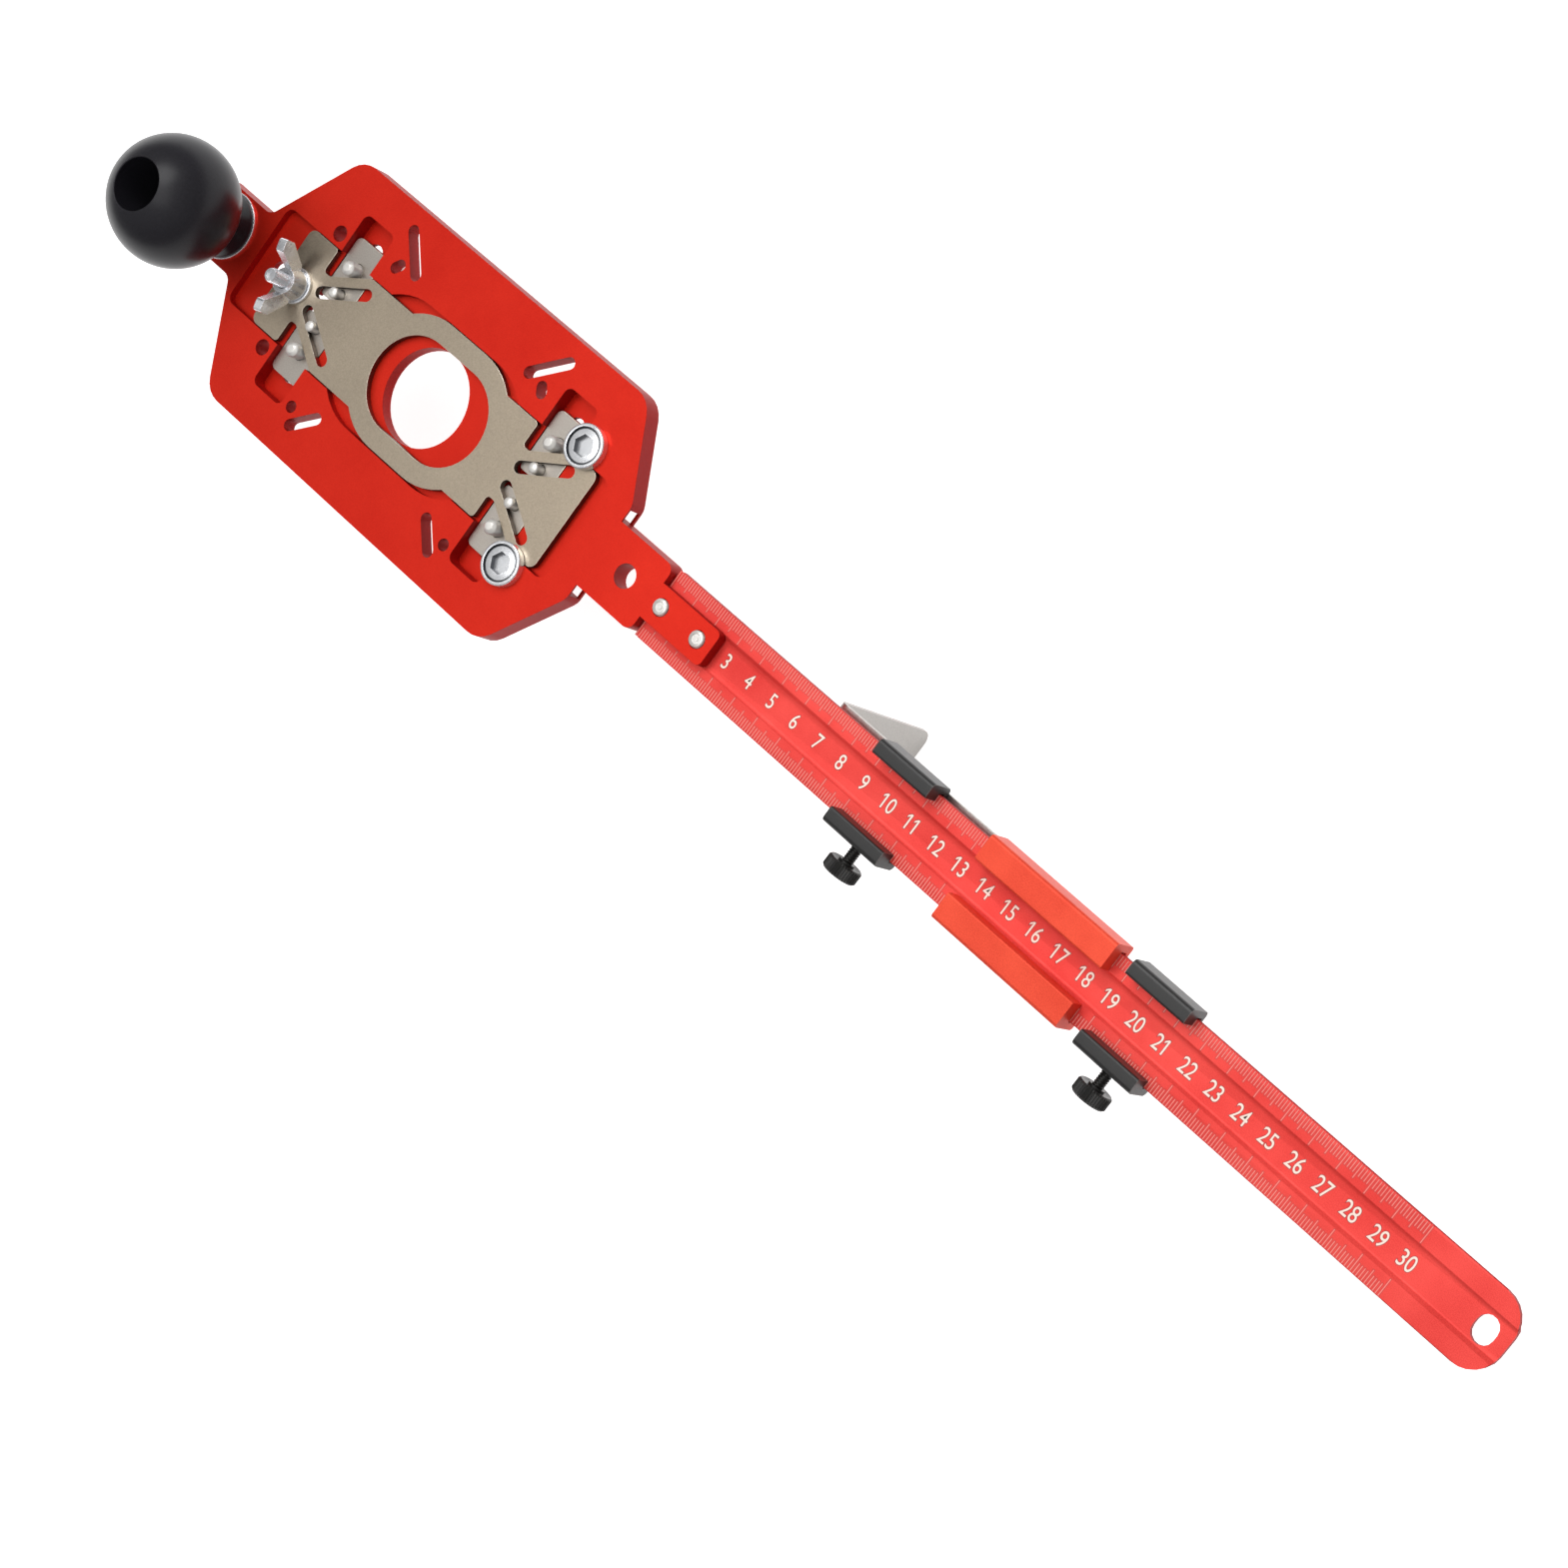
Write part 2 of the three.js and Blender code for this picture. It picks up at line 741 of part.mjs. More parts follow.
function roller() {
  const bore = rollerBoltRadius + rollerBoreGap;
  const recessFloor = rollerBottom + rollerRecessDepth;
  return revolved(
    [
      [bore, rollerTop],
      [bore, recessFloor],
      [rollerRecessRadius, recessFloor],
      [rollerRecessRadius, rollerBottom],
      [rollerRadius - rollerEdgeRound, rollerBottom],
      [rollerRadius, rollerBottom + rollerEdgeRound],
      [rollerRadius, rollerTop - rollerEdgeRound],
      [rollerRadius - rollerEdgeRound, rollerTop],
    ],
    plainSteps,
  );
}

function jawSet(corner, station, turned) {
  const set = new THREE.Group();
  const onBolt = new THREE.Group();
  const onPin = new THREE.Group();
  onBolt.position.y = rollerBoltY;
  onPin.position.y = jawPinOffset;
  onBolt.add(
    piece("roller_bolt_" + corner, rollerBolt(), zinc()),
    piece("roller_" + corner, roller(), whiteNylon()),
  );
  onPin.add(piece("jaw_pin_" + corner, jawPin(), zinc()));
  set.add(piece("jaw_" + corner, jaw(), jawSteel()), onBolt, onPin);
  set.position.x = station;
  set.rotation.z = turned;
  return set;
}

// Clamp of the slide plate, drawn about its own axis

function clampBolt() {
  const headBottom = slideGap;
  const headTop = headBottom + clampHeadThickness;
  const tip = camTop + clampBoltHeight;
  const head = circle(0, 0, clampHeadFlat / Math.cos(Math.PI / hexSides), hexSides);
  const shank = revolved(
    [
      [0, headBottom],
      [clampBoltRadius, headBottom],
      [clampBoltRadius, tip - clampBoltChamfer],
      [clampBoltRadius - clampBoltChamfer, tip],
      [0, tip],
    ],
    smallSteps,
  );
  return joined([upright(head, headBottom, headTop), shank]);
}

function washer() {
  const ring = circle(0, 0, washerRadius, plainSteps);
  ring.holes.push(circle(0, 0, clampBoltRadius + seatGap, smallSteps));
  return upright(ring, camTop, camTop + washerThickness);
}

// One wing in its own plane, from the hub out to the upturned tip
function wingShape() {
  const tipBottom = wingTop - wingTipWidth;
  return outline([
    [clampBoltRadius + seatGap, wingFoot, 0],
    [wingElbow, wingFoot, wingTipRadius],
    [wingReach, tipBottom, wingTipRadius],
    [wingReach, wingTop, wingTipRadius],
    [wingReach - wingTipWidth, wingTop, wingTipRadius],
    [nutTopRadius, nutHeight, 0],
    [clampBoltRadius + seatGap, nutHeight, 0],
  ]);
}

function wingNut() {
  const bore = clampBoltRadius + seatGap;
  const hub = revolved(
    [
      [bore, 0],
      [nutBaseRadius, 0],
      [nutBaseRadius, nutCollarHeight],
      [nutTopRadius, nutHeight],
      [bore, nutHeight],
    ],
    plainSteps,
  );
  const wing = across(wingShape(), -wingThickness / 2, wingThickness / 2);
  const otherWing = across(mirroredX(wingShape()), -wingThickness / 2, wingThickness / 2);
  const boreTool = upright(circle(0, 0, bore, plainSteps), -overrun, wingTop + overrun);
  return joined([hub, wing, otherWing]).subtract(boreTool);
}

function clampSet() {
  const set = new THREE.Group();
  const nut = piece("wing_nut", wingNut(), zinc());
  nut.position.z = nutSeat;
  nut.rotation.z = wingTurn;
  set.add(
    piece("clamp_bolt", clampBolt(), zinc()),
    piece("clamp_washer", washer(), zinc()),
    nut,
  );
  set.position.x = clampBoltX;
  return set;
}

// Screw with a wide dished head, drawn about its own axis from the underside of its head
function retainerScrew() {
  const dishFloor = retainerHeadHeight - retainerDishDepth;
  const rimInner = retainerHeadRadius - retainerRimWidth;
  const blank = revolved(
    [
      [0, -retainerShankLength],
      [retainerShankRadius, -retainerShankLength],
      [retainerShankRadius, 0],
      [retainerHeadRadius, 0],
      [retainerHeadRadius, retainerHeadHeight - retainerEdgeRound],
      [retainerHeadRadius - retainerEdgeRound, retainerHeadHeight],
      [rimInner, retainerHeadHeight],
      [rimInner, dishFloor],
      [0, dishFloor],
    ],
    plainSteps,
  );
  const socket = circle(0, 0, retainerSocketRadius, hexSides);
  return blank.subtract(
    upright(
      socket,
      retainerHeadHeight - retainerSocketDepth,
      retainerHeadHeight + overrun,
    ),
  );
}

// Knob, drawn about its own axis from the top of the base plate

function knobBall() {
  const neckTop = Math.asin(knobNeckRadius / knobBallRadius);
  const rim = Math.asin((knobBoreRadius + knobBoreRound) / knobBallRadius);
  const ball = arc(
    0,
    knobBallHeight,
    knobBallRadius,
    neckTop - quarter,
    quarter - rim,
    fineSteps,
  );
  const rimHeight = knobBallHeight + knobBallRadius * Math.cos(rim);
  const screwHole = knobScrewRadius + seatGap;
  const waist = ferruleHeight + knobBlendHeight;
  return revolved(
    [
      [screwHole, ferruleHeight],
      [knobFootRadius, ferruleHeight],
      [knobFootRadius, ferruleHeight + knobFootHeight],
      [knobNeckRadius, waist],
      ...ball.map((p) => [p.x, p.y]),
      [knobBoreRadius, rimHeight - knobBoreRound],
      [knobBoreRadius, knobBoreFloor],
      [screwHole, knobBoreFloor],
    ],
    plainSteps,
  );
}

function ferrule() {
  const bore = knobScrewRadius + seatGap;
  return revolved(
    [
      [bore, 0],
      [ferruleRadius, 0],
      [ferruleRadius, ferruleHeight - ferruleChamfer],
      [ferruleRadius - ferruleChamfer, ferruleHeight],
      [bore, ferruleHeight],
    ],
    plainSteps,
  );
}

function knobScrew() {
  const headTop = knobBoreFloor + knobScrewHeadHeight;
  const tip = knobScrewTipHeight - plateThickness;
  const blank = revolved(
    [
      [0, tip],
      [knobScrewRadius, tip],
      [knobScrewRadius, knobBoreFloor],
      [knobScrewHeadRadius, knobBoreFloor],
      [knobScrewHeadRadius, headTop],
      [0, headTop],
    ],
    smallSteps,
  );
  const socket = circle(0, 0, knobScrewSocketRadius, hexSides);
  return blank.subtract(upright(socket, headTop - knobScrewSocketDepth, headTop + overrun));
}

function knobSet() {
  const set = new THREE.Group();
  set.add(
    piece("knob_ball", knobBall(), blackPlastic()),
    piece("knob_ferrule", ferrule(), zinc()),
    piece("knob_screw", knobScrew(), darkSteel()),
  );
  set.position.set(knobX, 0, plateThickness);
  return set;
}

// Ruler

function rulerSection() {
  const half = rulerWidth / 2;
  const slopeEnd = rulerFloorHalf + rulerSlopeRun;
  const flangeBottom = rulerTop - rulerThickness;
  return outline([
    [-rulerFloorHalf - rulerStepShift, rulerFloorBottom, 0],
    [rulerFloorHalf + rulerStepShift, rulerFloorBottom, 0],
    [slopeEnd + rulerStepShift, flangeBottom, 0],
    [half, flangeBottom, 0],
    [half, rulerTop, 0],
    [slopeEnd, rulerTop, 0],
    [rulerFloorHalf, rulerFloorTop, 0],
    [-rulerFloorHalf, rulerFloorTop, 0],
    [-slopeEnd, rulerTop, 0],
    [-half, rulerTop, 0],
    [-half, flangeBottom, 0],
    [-slopeEnd - rulerStepShift, flangeBottom, 0],
  ]);
}

function rulerScrewPlaces() {
  const near = rulerStart + rulerScrewInset;
  return [near, near + rulerScrewPitch];
}

// Turned screw of the tongue: countersunk head in the ruler floor, thread up through the tongue
function rulerScrewProfile(grow) {
  const headTop = rulerFloorBottom + rulerScrewHeadHeight;
  const tip = plateThickness + rulerScrewStandout;
  return [
    [0, rulerFloorBottom],
    [rulerScrewHeadRadius + grow, rulerFloorBottom],
    [rulerScrewRadius + grow, headTop],
    [rulerScrewRadius + grow, tip - rulerScrewChamfer],
    [rulerScrewRadius + grow - rulerScrewChamfer, tip],
    [0, tip],
  ];
}

function ruler() {
  const half = rulerWidth / 2;
  const plan = outline([
    [rulerStart, -half, rulerStartRadius],
    [rulerEnd, -half, rulerTipRadius],
    [rulerEnd, half, rulerTipRadius],
    [rulerStart, half, rulerStartRadius],
  ]);
  const hangReach = (hangHoleWidth - hangHoleLength) / 2;
  const hangHole = slot(hangHoleX, -hangReach, hangHoleX, hangReach, hangHoleLength / 2);
  const blank = along(rulerSection(), rulerStart, rulerEnd).intersect(
    upright(plan, 0, plateThickness),
  );
  const screwHole = (x) => revolved(rulerScrewProfile(seatGap), smallSteps).translate([x, 0, 0]);
  const below = (x) =>
    upright(
      circle(x, 0, rulerScrewHeadRadius + seatGap, smallSteps),
      rulerFloorBottom - overrun,
      rulerFloorBottom,
    );
  return cutAway(blank, [
    upright(hangHole, -overrun, plateThickness),
    ...rulerScrewPlaces().flatMap((x) => [screwHole(x), below(x)]),
  ]);
}

// Block and clamps: a channel that wraps the ruler, with two lips over its raised edges
function channel(length, halfWidth, lipInner, lipHeight, web, cornerRadius) {
  const inside = rulerWidth / 2 + sideGap;
  const lipBottom = rulerTop + slideGap;
  const top = lipBottom + lipHeight;
  const floor = rulerFloorBottom - slideGap;
  const bottom = floor - web;
  return along(
    outline([
      [-halfWidth, bottom, cornerRadius],
      [halfWidth, bottom, cornerRadius],
      [halfWidth, top, cornerRadius],
      [lipInner, top, cornerRadius / 2],
      [lipInner, lipBottom, 0],
      [inside, lipBottom, 0],
      [inside, floor, 0],
      [-inside, floor, 0],
      [-inside, lipBottom, 0],
      [-lipInner, lipBottom, 0],
      [-lipInner, top, cornerRadius / 2],
      [-halfWidth, top, cornerRadius],
    ]),
    0,
    length,
  );
}

function bracketScrewPlaces() {
  const first = blockStart + bracketScrewInset;
  return [first, first + bracketScrewPitch];
}

function sliderBlock() {
  const blank = channel(
    blockLength,
    blockHalfWidth,
    blockLipInner,
    blockLipHeight,
    blockWeb,
    blockCornerRadius,
  );
  const holes = bracketScrewPlaces().map((x) =>
    upright(
      circle(x - blockStart, 0, bracketScrewRadius + seatGap, smallSteps),
      blockBottom - overrun,
      rulerFloorBottom,
    ),
  );
  return cutAway(blank, holes);
}

// Stop clamp, with the cross hole of its thumb screw in the front wall
function stopClamp() {
  const blank = channel(
    clampLength,
    clampHalfWidth,
    clampLipInner,
    clampLipHeight,
    clampWeb,
    clampCornerRadius,
  );
  const hole = circle(
    clampLength / 2,
    thumbAxisHeight,
    thumbShankRadius + seatGap,
    smallSteps,
  );
  return blank.subtract(across(hole, -clampHalfWidth - overrun, -rulerWidth / 2));
}

// Thumb screw along its own axis: the shank starts at zero and the fluted head ends it
function thumbScrew() {
  const shank = revolved(
    [
      [0, 0],
      [thumbShankRadius, 0],
      [thumbShankRadius, thumbShankLength + overrun],
      [0, thumbShankLength + overrun],
    ],
    smallSteps,
  );
  const flutes = Array.from({ length: thumbFlutes * 2 }, (_, i) => {
    const radius = thumbHeadRadius - (i % 2) * thumbFluteDepth;
    const angle = (i * turn) / (thumbFlutes * 2);
    return new THREE.Vector2(radius * Math.cos(angle), radius * Math.sin(angle));
  });
  const headEnd = thumbShankLength + thumbHeadLength;
  const head = upright(new THREE.Shape(flutes), thumbShankLength, headEnd);
  const envelope = revolved(
    [
      [0, thumbShankLength],
      [thumbHeadRadius - thumbHeadChamfer, thumbShankLength],
      [thumbHeadRadius, thumbShankLength + thumbHeadChamfer],
      [thumbHeadRadius, headEnd - thumbHeadChamfer],
      [thumbHeadRadius - thumbHeadChamfer, headEnd],
      [0, headEnd],
    ],
    fineSteps,
  );
  return joined([shank, head.intersect(envelope)]);
}

function clampOnRuler(name, start) {
  const set = new THREE.Group();
  const screw = piece("thumb_screw_" + name, thumbScrew(), darkSteel());
  screw.position.set(clampLength / 2, -rulerWidth / 2 - buttGap, thumbAxisHeight);
  screw.rotation.x = quarter;
  set.add(piece("stop_clamp_" + name, stopClamp(), blackAlloy()), screw);
  set.position.x = start;
  return set;
}

// Stop bracket: one bent strip, screwed under the block, with its leg hanging down
function stopBracket() {
  const end = blockStart + bracketBlockCover;
  const inner = bracketStart + bracketThickness;
  const legBottom = blockBottom - bracketDrop;
  const outerBend = bracketBendRadius + bracketThickness;
  const profile = outline([
    [bracketStart, legBottom, 0],
    [inner, legBottom, 0],
    [inner, bracketBottom, bracketBendRadius],
    [end, bracketBottom, 0],
    [end, blockBottom, 0],
    [bracketStart, blockBottom, outerBend],
  ]);
  const front = outline([
    [-bracketHalfWidth, legBottom, bracketLegCornerRadius],
    [bracketHalfWidth, legBottom, bracketLegCornerRadius],
    [bracketHalfWidth, overrun, 0],
    [-bracketHalfWidth, overrun, 0],
  ]);
  const plan = outline([
    [bracketStart - overrun, -bracketHalfWidth, 0],
    [end, -bracketHalfWidth, bracketEndCornerRadius],
    [end, bracketHalfWidth, bracketEndCornerRadius],
    [bracketStart - overrun, bracketHalfWidth, 0],
  ]);
  const strip = across(profile, -bracketHalfWidth, bracketHalfWidth)
    .intersect(along(front, bracketStart - overrun, end + overrun))
    .intersect(upright(plan, legBottom - overrun, overrun));
  return cutAway(
    strip,
    bracketScrewPlaces().map((x) =>
      upright(
        circle(x, 0, bracketScrewRadius + seatGap, smallSteps),
        bracketBottom - overrun,
        overrun,
      ),
    ),
  );
}

// Pan-head screw, pointing up from the underside of the bracket
function bracketScrew() {
  const rim = bracketScrewHeadHeight * bracketScrewRimShare;
  const tip = bracketThickness + blockWeb - seatGap;
  return revolved(
    [
      [0, -bracketScrewHeadHeight],
      [bracketScrewRadius, -bracketScrewHeadHeight],
      [bracketScrewHeadRadius, -rim],
      [bracketScrewHeadRadius, 0],
      [bracketScrewRadius, 0],
      [bracketScrewRadius, tip],
      [0, tip],
    ],
    smallSteps,
  );
}

// The whole jig

const jig = new THREE.Group();
jig.add(
  piece("base_plate", basePlate(), redPaint()),
  piece("slide_plate", camPlate(), plateSteel()),
  piece("ruler", ruler(), redAnodised()),
  clampSet(),
  knobSet(),
);

[
  ["left", -jawStation],
  ["right", jawStation],
].forEach(([end, station]) => {
  jig.add(jawSet(end + "_back", station, 0), jawSet(end + "_front", station, Math.PI));
});

[
  ["front", -1],
  ["back", 1],
].forEach(([name, side]) => {
  const screw = piece("retainer_screw_" + name, retainerScrew(), zinc());
  screw.position.set(retainerX, side * retainerY, plateThickness);
  jig.add(screw);
});

const nearAndFar = ["near", "far"];
rulerScrewPlaces().forEach((x, i) => {
  const screw = piece(
    "ruler_screw_" + nearAndFar[i],
    revolved(rulerScrewProfile(0), smallSteps),
    zinc(),
  );
  screw.position.x = x;
  jig.add(screw);
});

const block = piece("slider_block", sliderBlock(), redAnodised());
block.position.x = blockStart;
jig.add(
  block,
  clampOnRuler("inner", innerClampStart),
  clampOnRuler("outer", outerClampStart),
  piece("stop_bracket", stopBracket(), jawSteel()),
);

bracketScrewPlaces().forEach((x, i) => {
  const screw = piece("bracket_screw_" + nearAndFar[i], bracketScrew(), darkSteel());
  screw.position.set(x, 0, bracketBottom);
  jig.add(screw);
});

// The part's own origin is on the underside of the left tab, between the knob and the pocket
jig.position.x = originToHole;
const part = new THREE.Group();
part.add(jig);

export default part;
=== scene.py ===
import json
import math

import bmesh
import bpy
from mathutils import Matrix, Vector


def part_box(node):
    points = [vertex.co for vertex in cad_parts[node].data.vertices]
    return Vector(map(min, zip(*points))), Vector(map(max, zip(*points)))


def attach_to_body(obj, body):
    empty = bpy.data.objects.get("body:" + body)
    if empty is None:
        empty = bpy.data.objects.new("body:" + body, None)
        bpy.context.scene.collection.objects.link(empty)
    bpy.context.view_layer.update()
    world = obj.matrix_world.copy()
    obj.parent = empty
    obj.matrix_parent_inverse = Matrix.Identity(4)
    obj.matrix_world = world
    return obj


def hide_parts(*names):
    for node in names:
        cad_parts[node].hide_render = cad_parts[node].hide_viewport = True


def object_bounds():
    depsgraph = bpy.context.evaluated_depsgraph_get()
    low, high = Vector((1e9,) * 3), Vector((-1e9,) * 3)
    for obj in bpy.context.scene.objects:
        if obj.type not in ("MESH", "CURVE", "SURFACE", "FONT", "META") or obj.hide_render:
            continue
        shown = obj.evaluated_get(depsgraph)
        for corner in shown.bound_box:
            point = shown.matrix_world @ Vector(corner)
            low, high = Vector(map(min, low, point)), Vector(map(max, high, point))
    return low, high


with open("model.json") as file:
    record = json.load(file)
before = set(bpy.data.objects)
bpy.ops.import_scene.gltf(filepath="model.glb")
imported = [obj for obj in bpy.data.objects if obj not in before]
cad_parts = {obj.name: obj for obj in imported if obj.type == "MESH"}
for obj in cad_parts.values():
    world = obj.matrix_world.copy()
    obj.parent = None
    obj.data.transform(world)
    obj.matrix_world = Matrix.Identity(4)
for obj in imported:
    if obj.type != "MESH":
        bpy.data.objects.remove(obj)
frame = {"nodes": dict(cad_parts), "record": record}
cad_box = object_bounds()
nodes = frame["nodes"]
body_of_node = {
    name: body
    for body, members in frame["record"]["behaviour"]["bodies"].items()
    for name in members
}

# Lengths are metres, and MM turns a millimetre size into one
MM = 0.001
TURN = 2 * math.pi
NEARLY_ZERO = 1e-6

# Camera, fitted to the ruler's marks and the plate's corners in the photograph
CAMERA_PLACE = Vector((0.72397, 0.17562, 0.91110))
CAMERA_AIM = Vector((0.26527, -0.01659, 0))
CAMERA_ROLL = math.radians(73.712)
CAMERA_LENS = 81.314
CAMERA_SENSOR = 36

# Floor and lights
FLOOR_DROP = 0.4 * MM
FLOOR_SIZE = 6
FLOOR_CELLS = 4
FLOOR_ROUGHNESS = 0.9
FLOOR_CLOUDS = 3
FLOOR_DARK = 0.8
FLOOR_LIGHT = 0.82
FLOOR_GLOW = 0.72
WORLD_LOW = 0.2
WORLD_HIGH = 0.85
WORLD_SEEN = 1.0
LIGHT_AIM = (0.25, 0, 0)
BACK_PLACE = (-0.1, 0.75, 1.25)
BACK_SIZE = 0.8
BACK_POWER = 10
OVERHEAD_PLACE = (0.5, 0.1, 1.7)
OVERHEAD_SIZE = 1
OVERHEAD_POWER = 5
LEFT_PLACE = (-0.32, -0.1, 1.6)
LEFT_SIZE = 0.45
LEFT_POWER = 2.3

# Share of metal that shows through the coats, and the gloss on top of them and on the knob
PLATE_METAL = 0.6
RULER_METAL = 0.3
PAINT_GLOSS = 0.2
WALL_METAL = 0.3
WALL_GLOSS = 0.1
KNOB_GLOSS = 0.22

# Texture of the coats and of the bare metals, with noise scales per metre
NOISE_LOW = 0.3
NOISE_HIGH = 0.7
NOISE_DETAIL = 3
NOISE_ROUGHNESS = 0.55
COAT_GRAIN = 2600
COAT_BLOTCH = 45
COAT_FINE_SHARE = 0.55
COAT_RELIEF = 0.15
COAT_GLOSSIER = 0.06
COAT_DULLER = 0.08
COAT_BUMP = 0.1 * MM
METAL_CLOUDS = 30
METAL_CLOUD_SHARE = 0.25
METAL_RELIEF = 0.1
METAL_GLOSSIER = 0.05
METAL_DULLER = 0.07
METAL_BUMP = 0.05 * MM
EVEN = (1, 1, 1)
UPRIGHT_STREAKS = (1, 1, 0.2)
NYLON_GLOW_DEPTH = 2 * MM

# Sizes of the dressed solids
CORNER_ANGLE = math.radians(28)
FLAT_ANGLE = math.radians(0.8)
NORMAL_WEIGHT = 80
WALL_LEAN = 0.5
ROUND_PROFILE = 0.5
EDGE_STEPS = 2
WELD = 2e-6
PLATE_EDGE = 0.32 * MM
SHEET_EDGE = 0.16 * MM
BLOCK_EDGE = 0.2 * MM
BRACKET_EDGE = 0.12 * MM

# Turned pieces
FINE_STEPS = 96
SMALL_STEPS = 48
ARC_STEPS = 6
SHORT_ARC_STEPS = 3
DOME_STEPS = 8
FINE_ROUND = 0.16 * MM
SCREW_CLEARANCE = 0.16 * MM
SOCKET_SIDES = 6
THREAD_PITCH = 0.8 * MM
THREAD_DEPTH = 0.3 * MM
THREAD_SAMPLES = 4

# Directions round an arc, in degrees from the one that points away from the axis
DOWN = -90
OUT = 0
UP = 90
IN = 180

# Knob and its screw, heights from the top of the base plate
KNOB_RADIUS = 21.5 * MM
KNOB_ARC_STEPS = 60
KNOB_CENTRE = 28.3 * MM
KNOB_FOOT_RADIUS = 10.9 * MM
KNOB_FOOT_HEIGHT = 1.6 * MM
KNOB_NECK_RADIUS = 9.4 * MM
KNOB_WAIST = 6 * MM
KNOB_BORE_RADIUS = 8.7 * MM
KNOB_BORE_ROUND = 0.4 * MM
KNOB_BORE_FLOOR = 19 * MM
KNOB_SCREW_HOLE = 3.2 * MM
KNOB_SOCKET_RADIUS = 2.9 * MM
KNOB_SOCKET_DEPTH = 3 * MM
WASHER_ROUND = 0.25 * MM

# Roller bolts, rollers and jaw pins
BOLT_RADIUS = 2.5 * MM
BOLT_HEAD_HEIGHT = 2.6 * MM
BOLT_HEAD_CHAMFER = 0.6 * MM
BOLT_SOCKET_RADIUS = 2.3 * MM
BOLT_SOCKET_DEPTH = 1.5 * MM
BOLT_TIP_FLAT = 1.25 * MM
BOLT_TIP_ROUND = 0.15 * MM
BOLT_TIP_SHOULDER = 2.1 * MM
BOLT_TIP_SLOPE = 0.5 * MM
BOLT_TIP_LENGTH = 0.9 * MM
ROLLER_BORE = 2.8 * MM
ROLLER_RECESS_RADIUS = 6.35 * MM
ROLLER_RECESS_DEPTH = 3.5 * MM
ROLLER_ROUND = 0.7 * MM
PIN_DOME = 0.9 * MM

# Retainer screws
RETAINER_ROUND = 0.6 * MM
RETAINER_RIM = 1.3 * MM
RETAINER_GROOVE = 0.28 * MM
RETAINER_DISH = 0.75 * MM
RETAINER_SWELL = 0.5 * MM
RETAINER_SOCKET_RADIUS = 3.7 * MM
RETAINER_SOCKET_DEPTH = 1.9 * MM
RETAINER_SHANK = 2.7 * MM
RETAINER_HEAD_HEIGHT = 2.9 * MM

# Clamp bolt and wing nut
CLAMP_HEAD_HEIGHT = 1.9 * MM
CLAMP_HEAD_FLATS = 8 * MM
CLAMP_SOCKET_RADIUS = 1.5 * MM
CLAMP_SOCKET_DEPTH = 0.7 * MM
CLAMP_TIP_RADIUS = 2.05 * MM
WING_ROUND = 0.75 * MM
WING_STEPS = 4
WING_CORNER = math.radians(60)

# Thumb screws, lengths from the tip along the screw
THUMB_SHANK_RADIUS = 1.9 * MM
THUMB_SHANK_LENGTH = 8.6 * MM
THUMB_COLLAR_RADIUS = 2.7 * MM
THUMB_COLLAR_HEIGHT = 0.5 * MM
THUMB_HEAD_RADIUS = 5.7 * MM
THUMB_HEAD_CHAMFER = 0.55 * MM
THUMB_FACE_SINK = 0.5 * MM
THUMB_RIM = 1.1 * MM
THUMB_FLUTES = 40
THUMB_STEPS = THUMB_FLUTES * 4
THUMB_FLUTE_DEPTH = 0.28 * MM

# Screws under the ruler and under the block
HEAD_DROP_SHARE = 0.35
HEAD_DOME_STEPS = 6
CROSS_LENGTH_SHARE = 0.62
CROSS_HALF_WIDTH = 0.45 * MM
CROSS_DEPTH = 0.9 * MM
RULER_HEAD_HEIGHT = 1.3 * MM
RULER_SCREW_RADIUS = 2.7 * MM
RULER_TIP_SLOPE = 0.4 * MM
RULER_TIP_RIM = 1.8 * MM
RULER_TIP_FLAT = 1.5 * MM
RULER_TIP_CORE = 0.9 * MM
RULER_TIP_RING = 0.35 * MM
BRACKET_HEAD_HEIGHT = 2.5 * MM
BRACKET_SCREW_RADIUS = 2 * MM
BRACKET_TIP_SLOPE = 0.32 * MM
BRACKET_TIP_INSET = 0.48 * MM

# Ruler, its marks and its numbers, whose ones have a flag; MARK_INNER says where marks end
MARK_ZERO = 197.3 * MM
MARK_PITCH = 1 * MM
MARK_COUNT = 300
MARK_OUTER = 11.85 * MM
MARK_INNER = {1: 8.6 * MM, 5: 7.4 * MM, 10: 6.2 * MM}
MARK_LINE = 0.32 * MM
# Width of the band of painted shade round each mark
MARK_SHADE_WIDTH = 0.7 * MM
MARK_HEIGHT = 0.03 * MM
# Height of that band of painted shade
MARK_SHADE_HEIGHT = 0.015 * MM
NUMBER_FIRST = 3
NUMBER_LAST = 30
NUMBER_STEP = 10 * MM
NUMBER_SIZE = 6.9 * MM
NUMBER_CURVE_STEPS = 6
NUMBER_SQUEEZE = 0.8
NUMBER_SIDE = -0.2 * MM
NUMBER_LIFT = 0.03 * MM
# How far the painted shade round each number reaches
NUMBER_OUTLINE = 0.22 * MM
NUMBER_BOLD = 0.02 * MM
STEM_WIDTH_SHARE = 0.3
FLAG_REACH = 0.85 * MM
FLAG_STROKE = 0.62 * MM
FLAG_SPREAD_SHARE = 3.4
RULER_FLOOR = 2.8 * MM
RULER_TIP_START = 500 * MM


# Materials


def add_node(tree, kind, **settings):
    made = tree.nodes.new(kind)
    for key, value in settings.items():
        setattr(made, key, value)
    return made


def set_inputs(made, **values):
    for key, value in values.items():
        made.inputs[key.replace("_", " ")].default_value = value


def new_material(name, **shader_values):
    material = bpy.data.materials.new(name)
    material.use_nodes = True
    shader = material.node_tree.nodes["Principled BSDF"]
    set_inputs(shader, **shader_values)
    return material, material.node_tree, shader


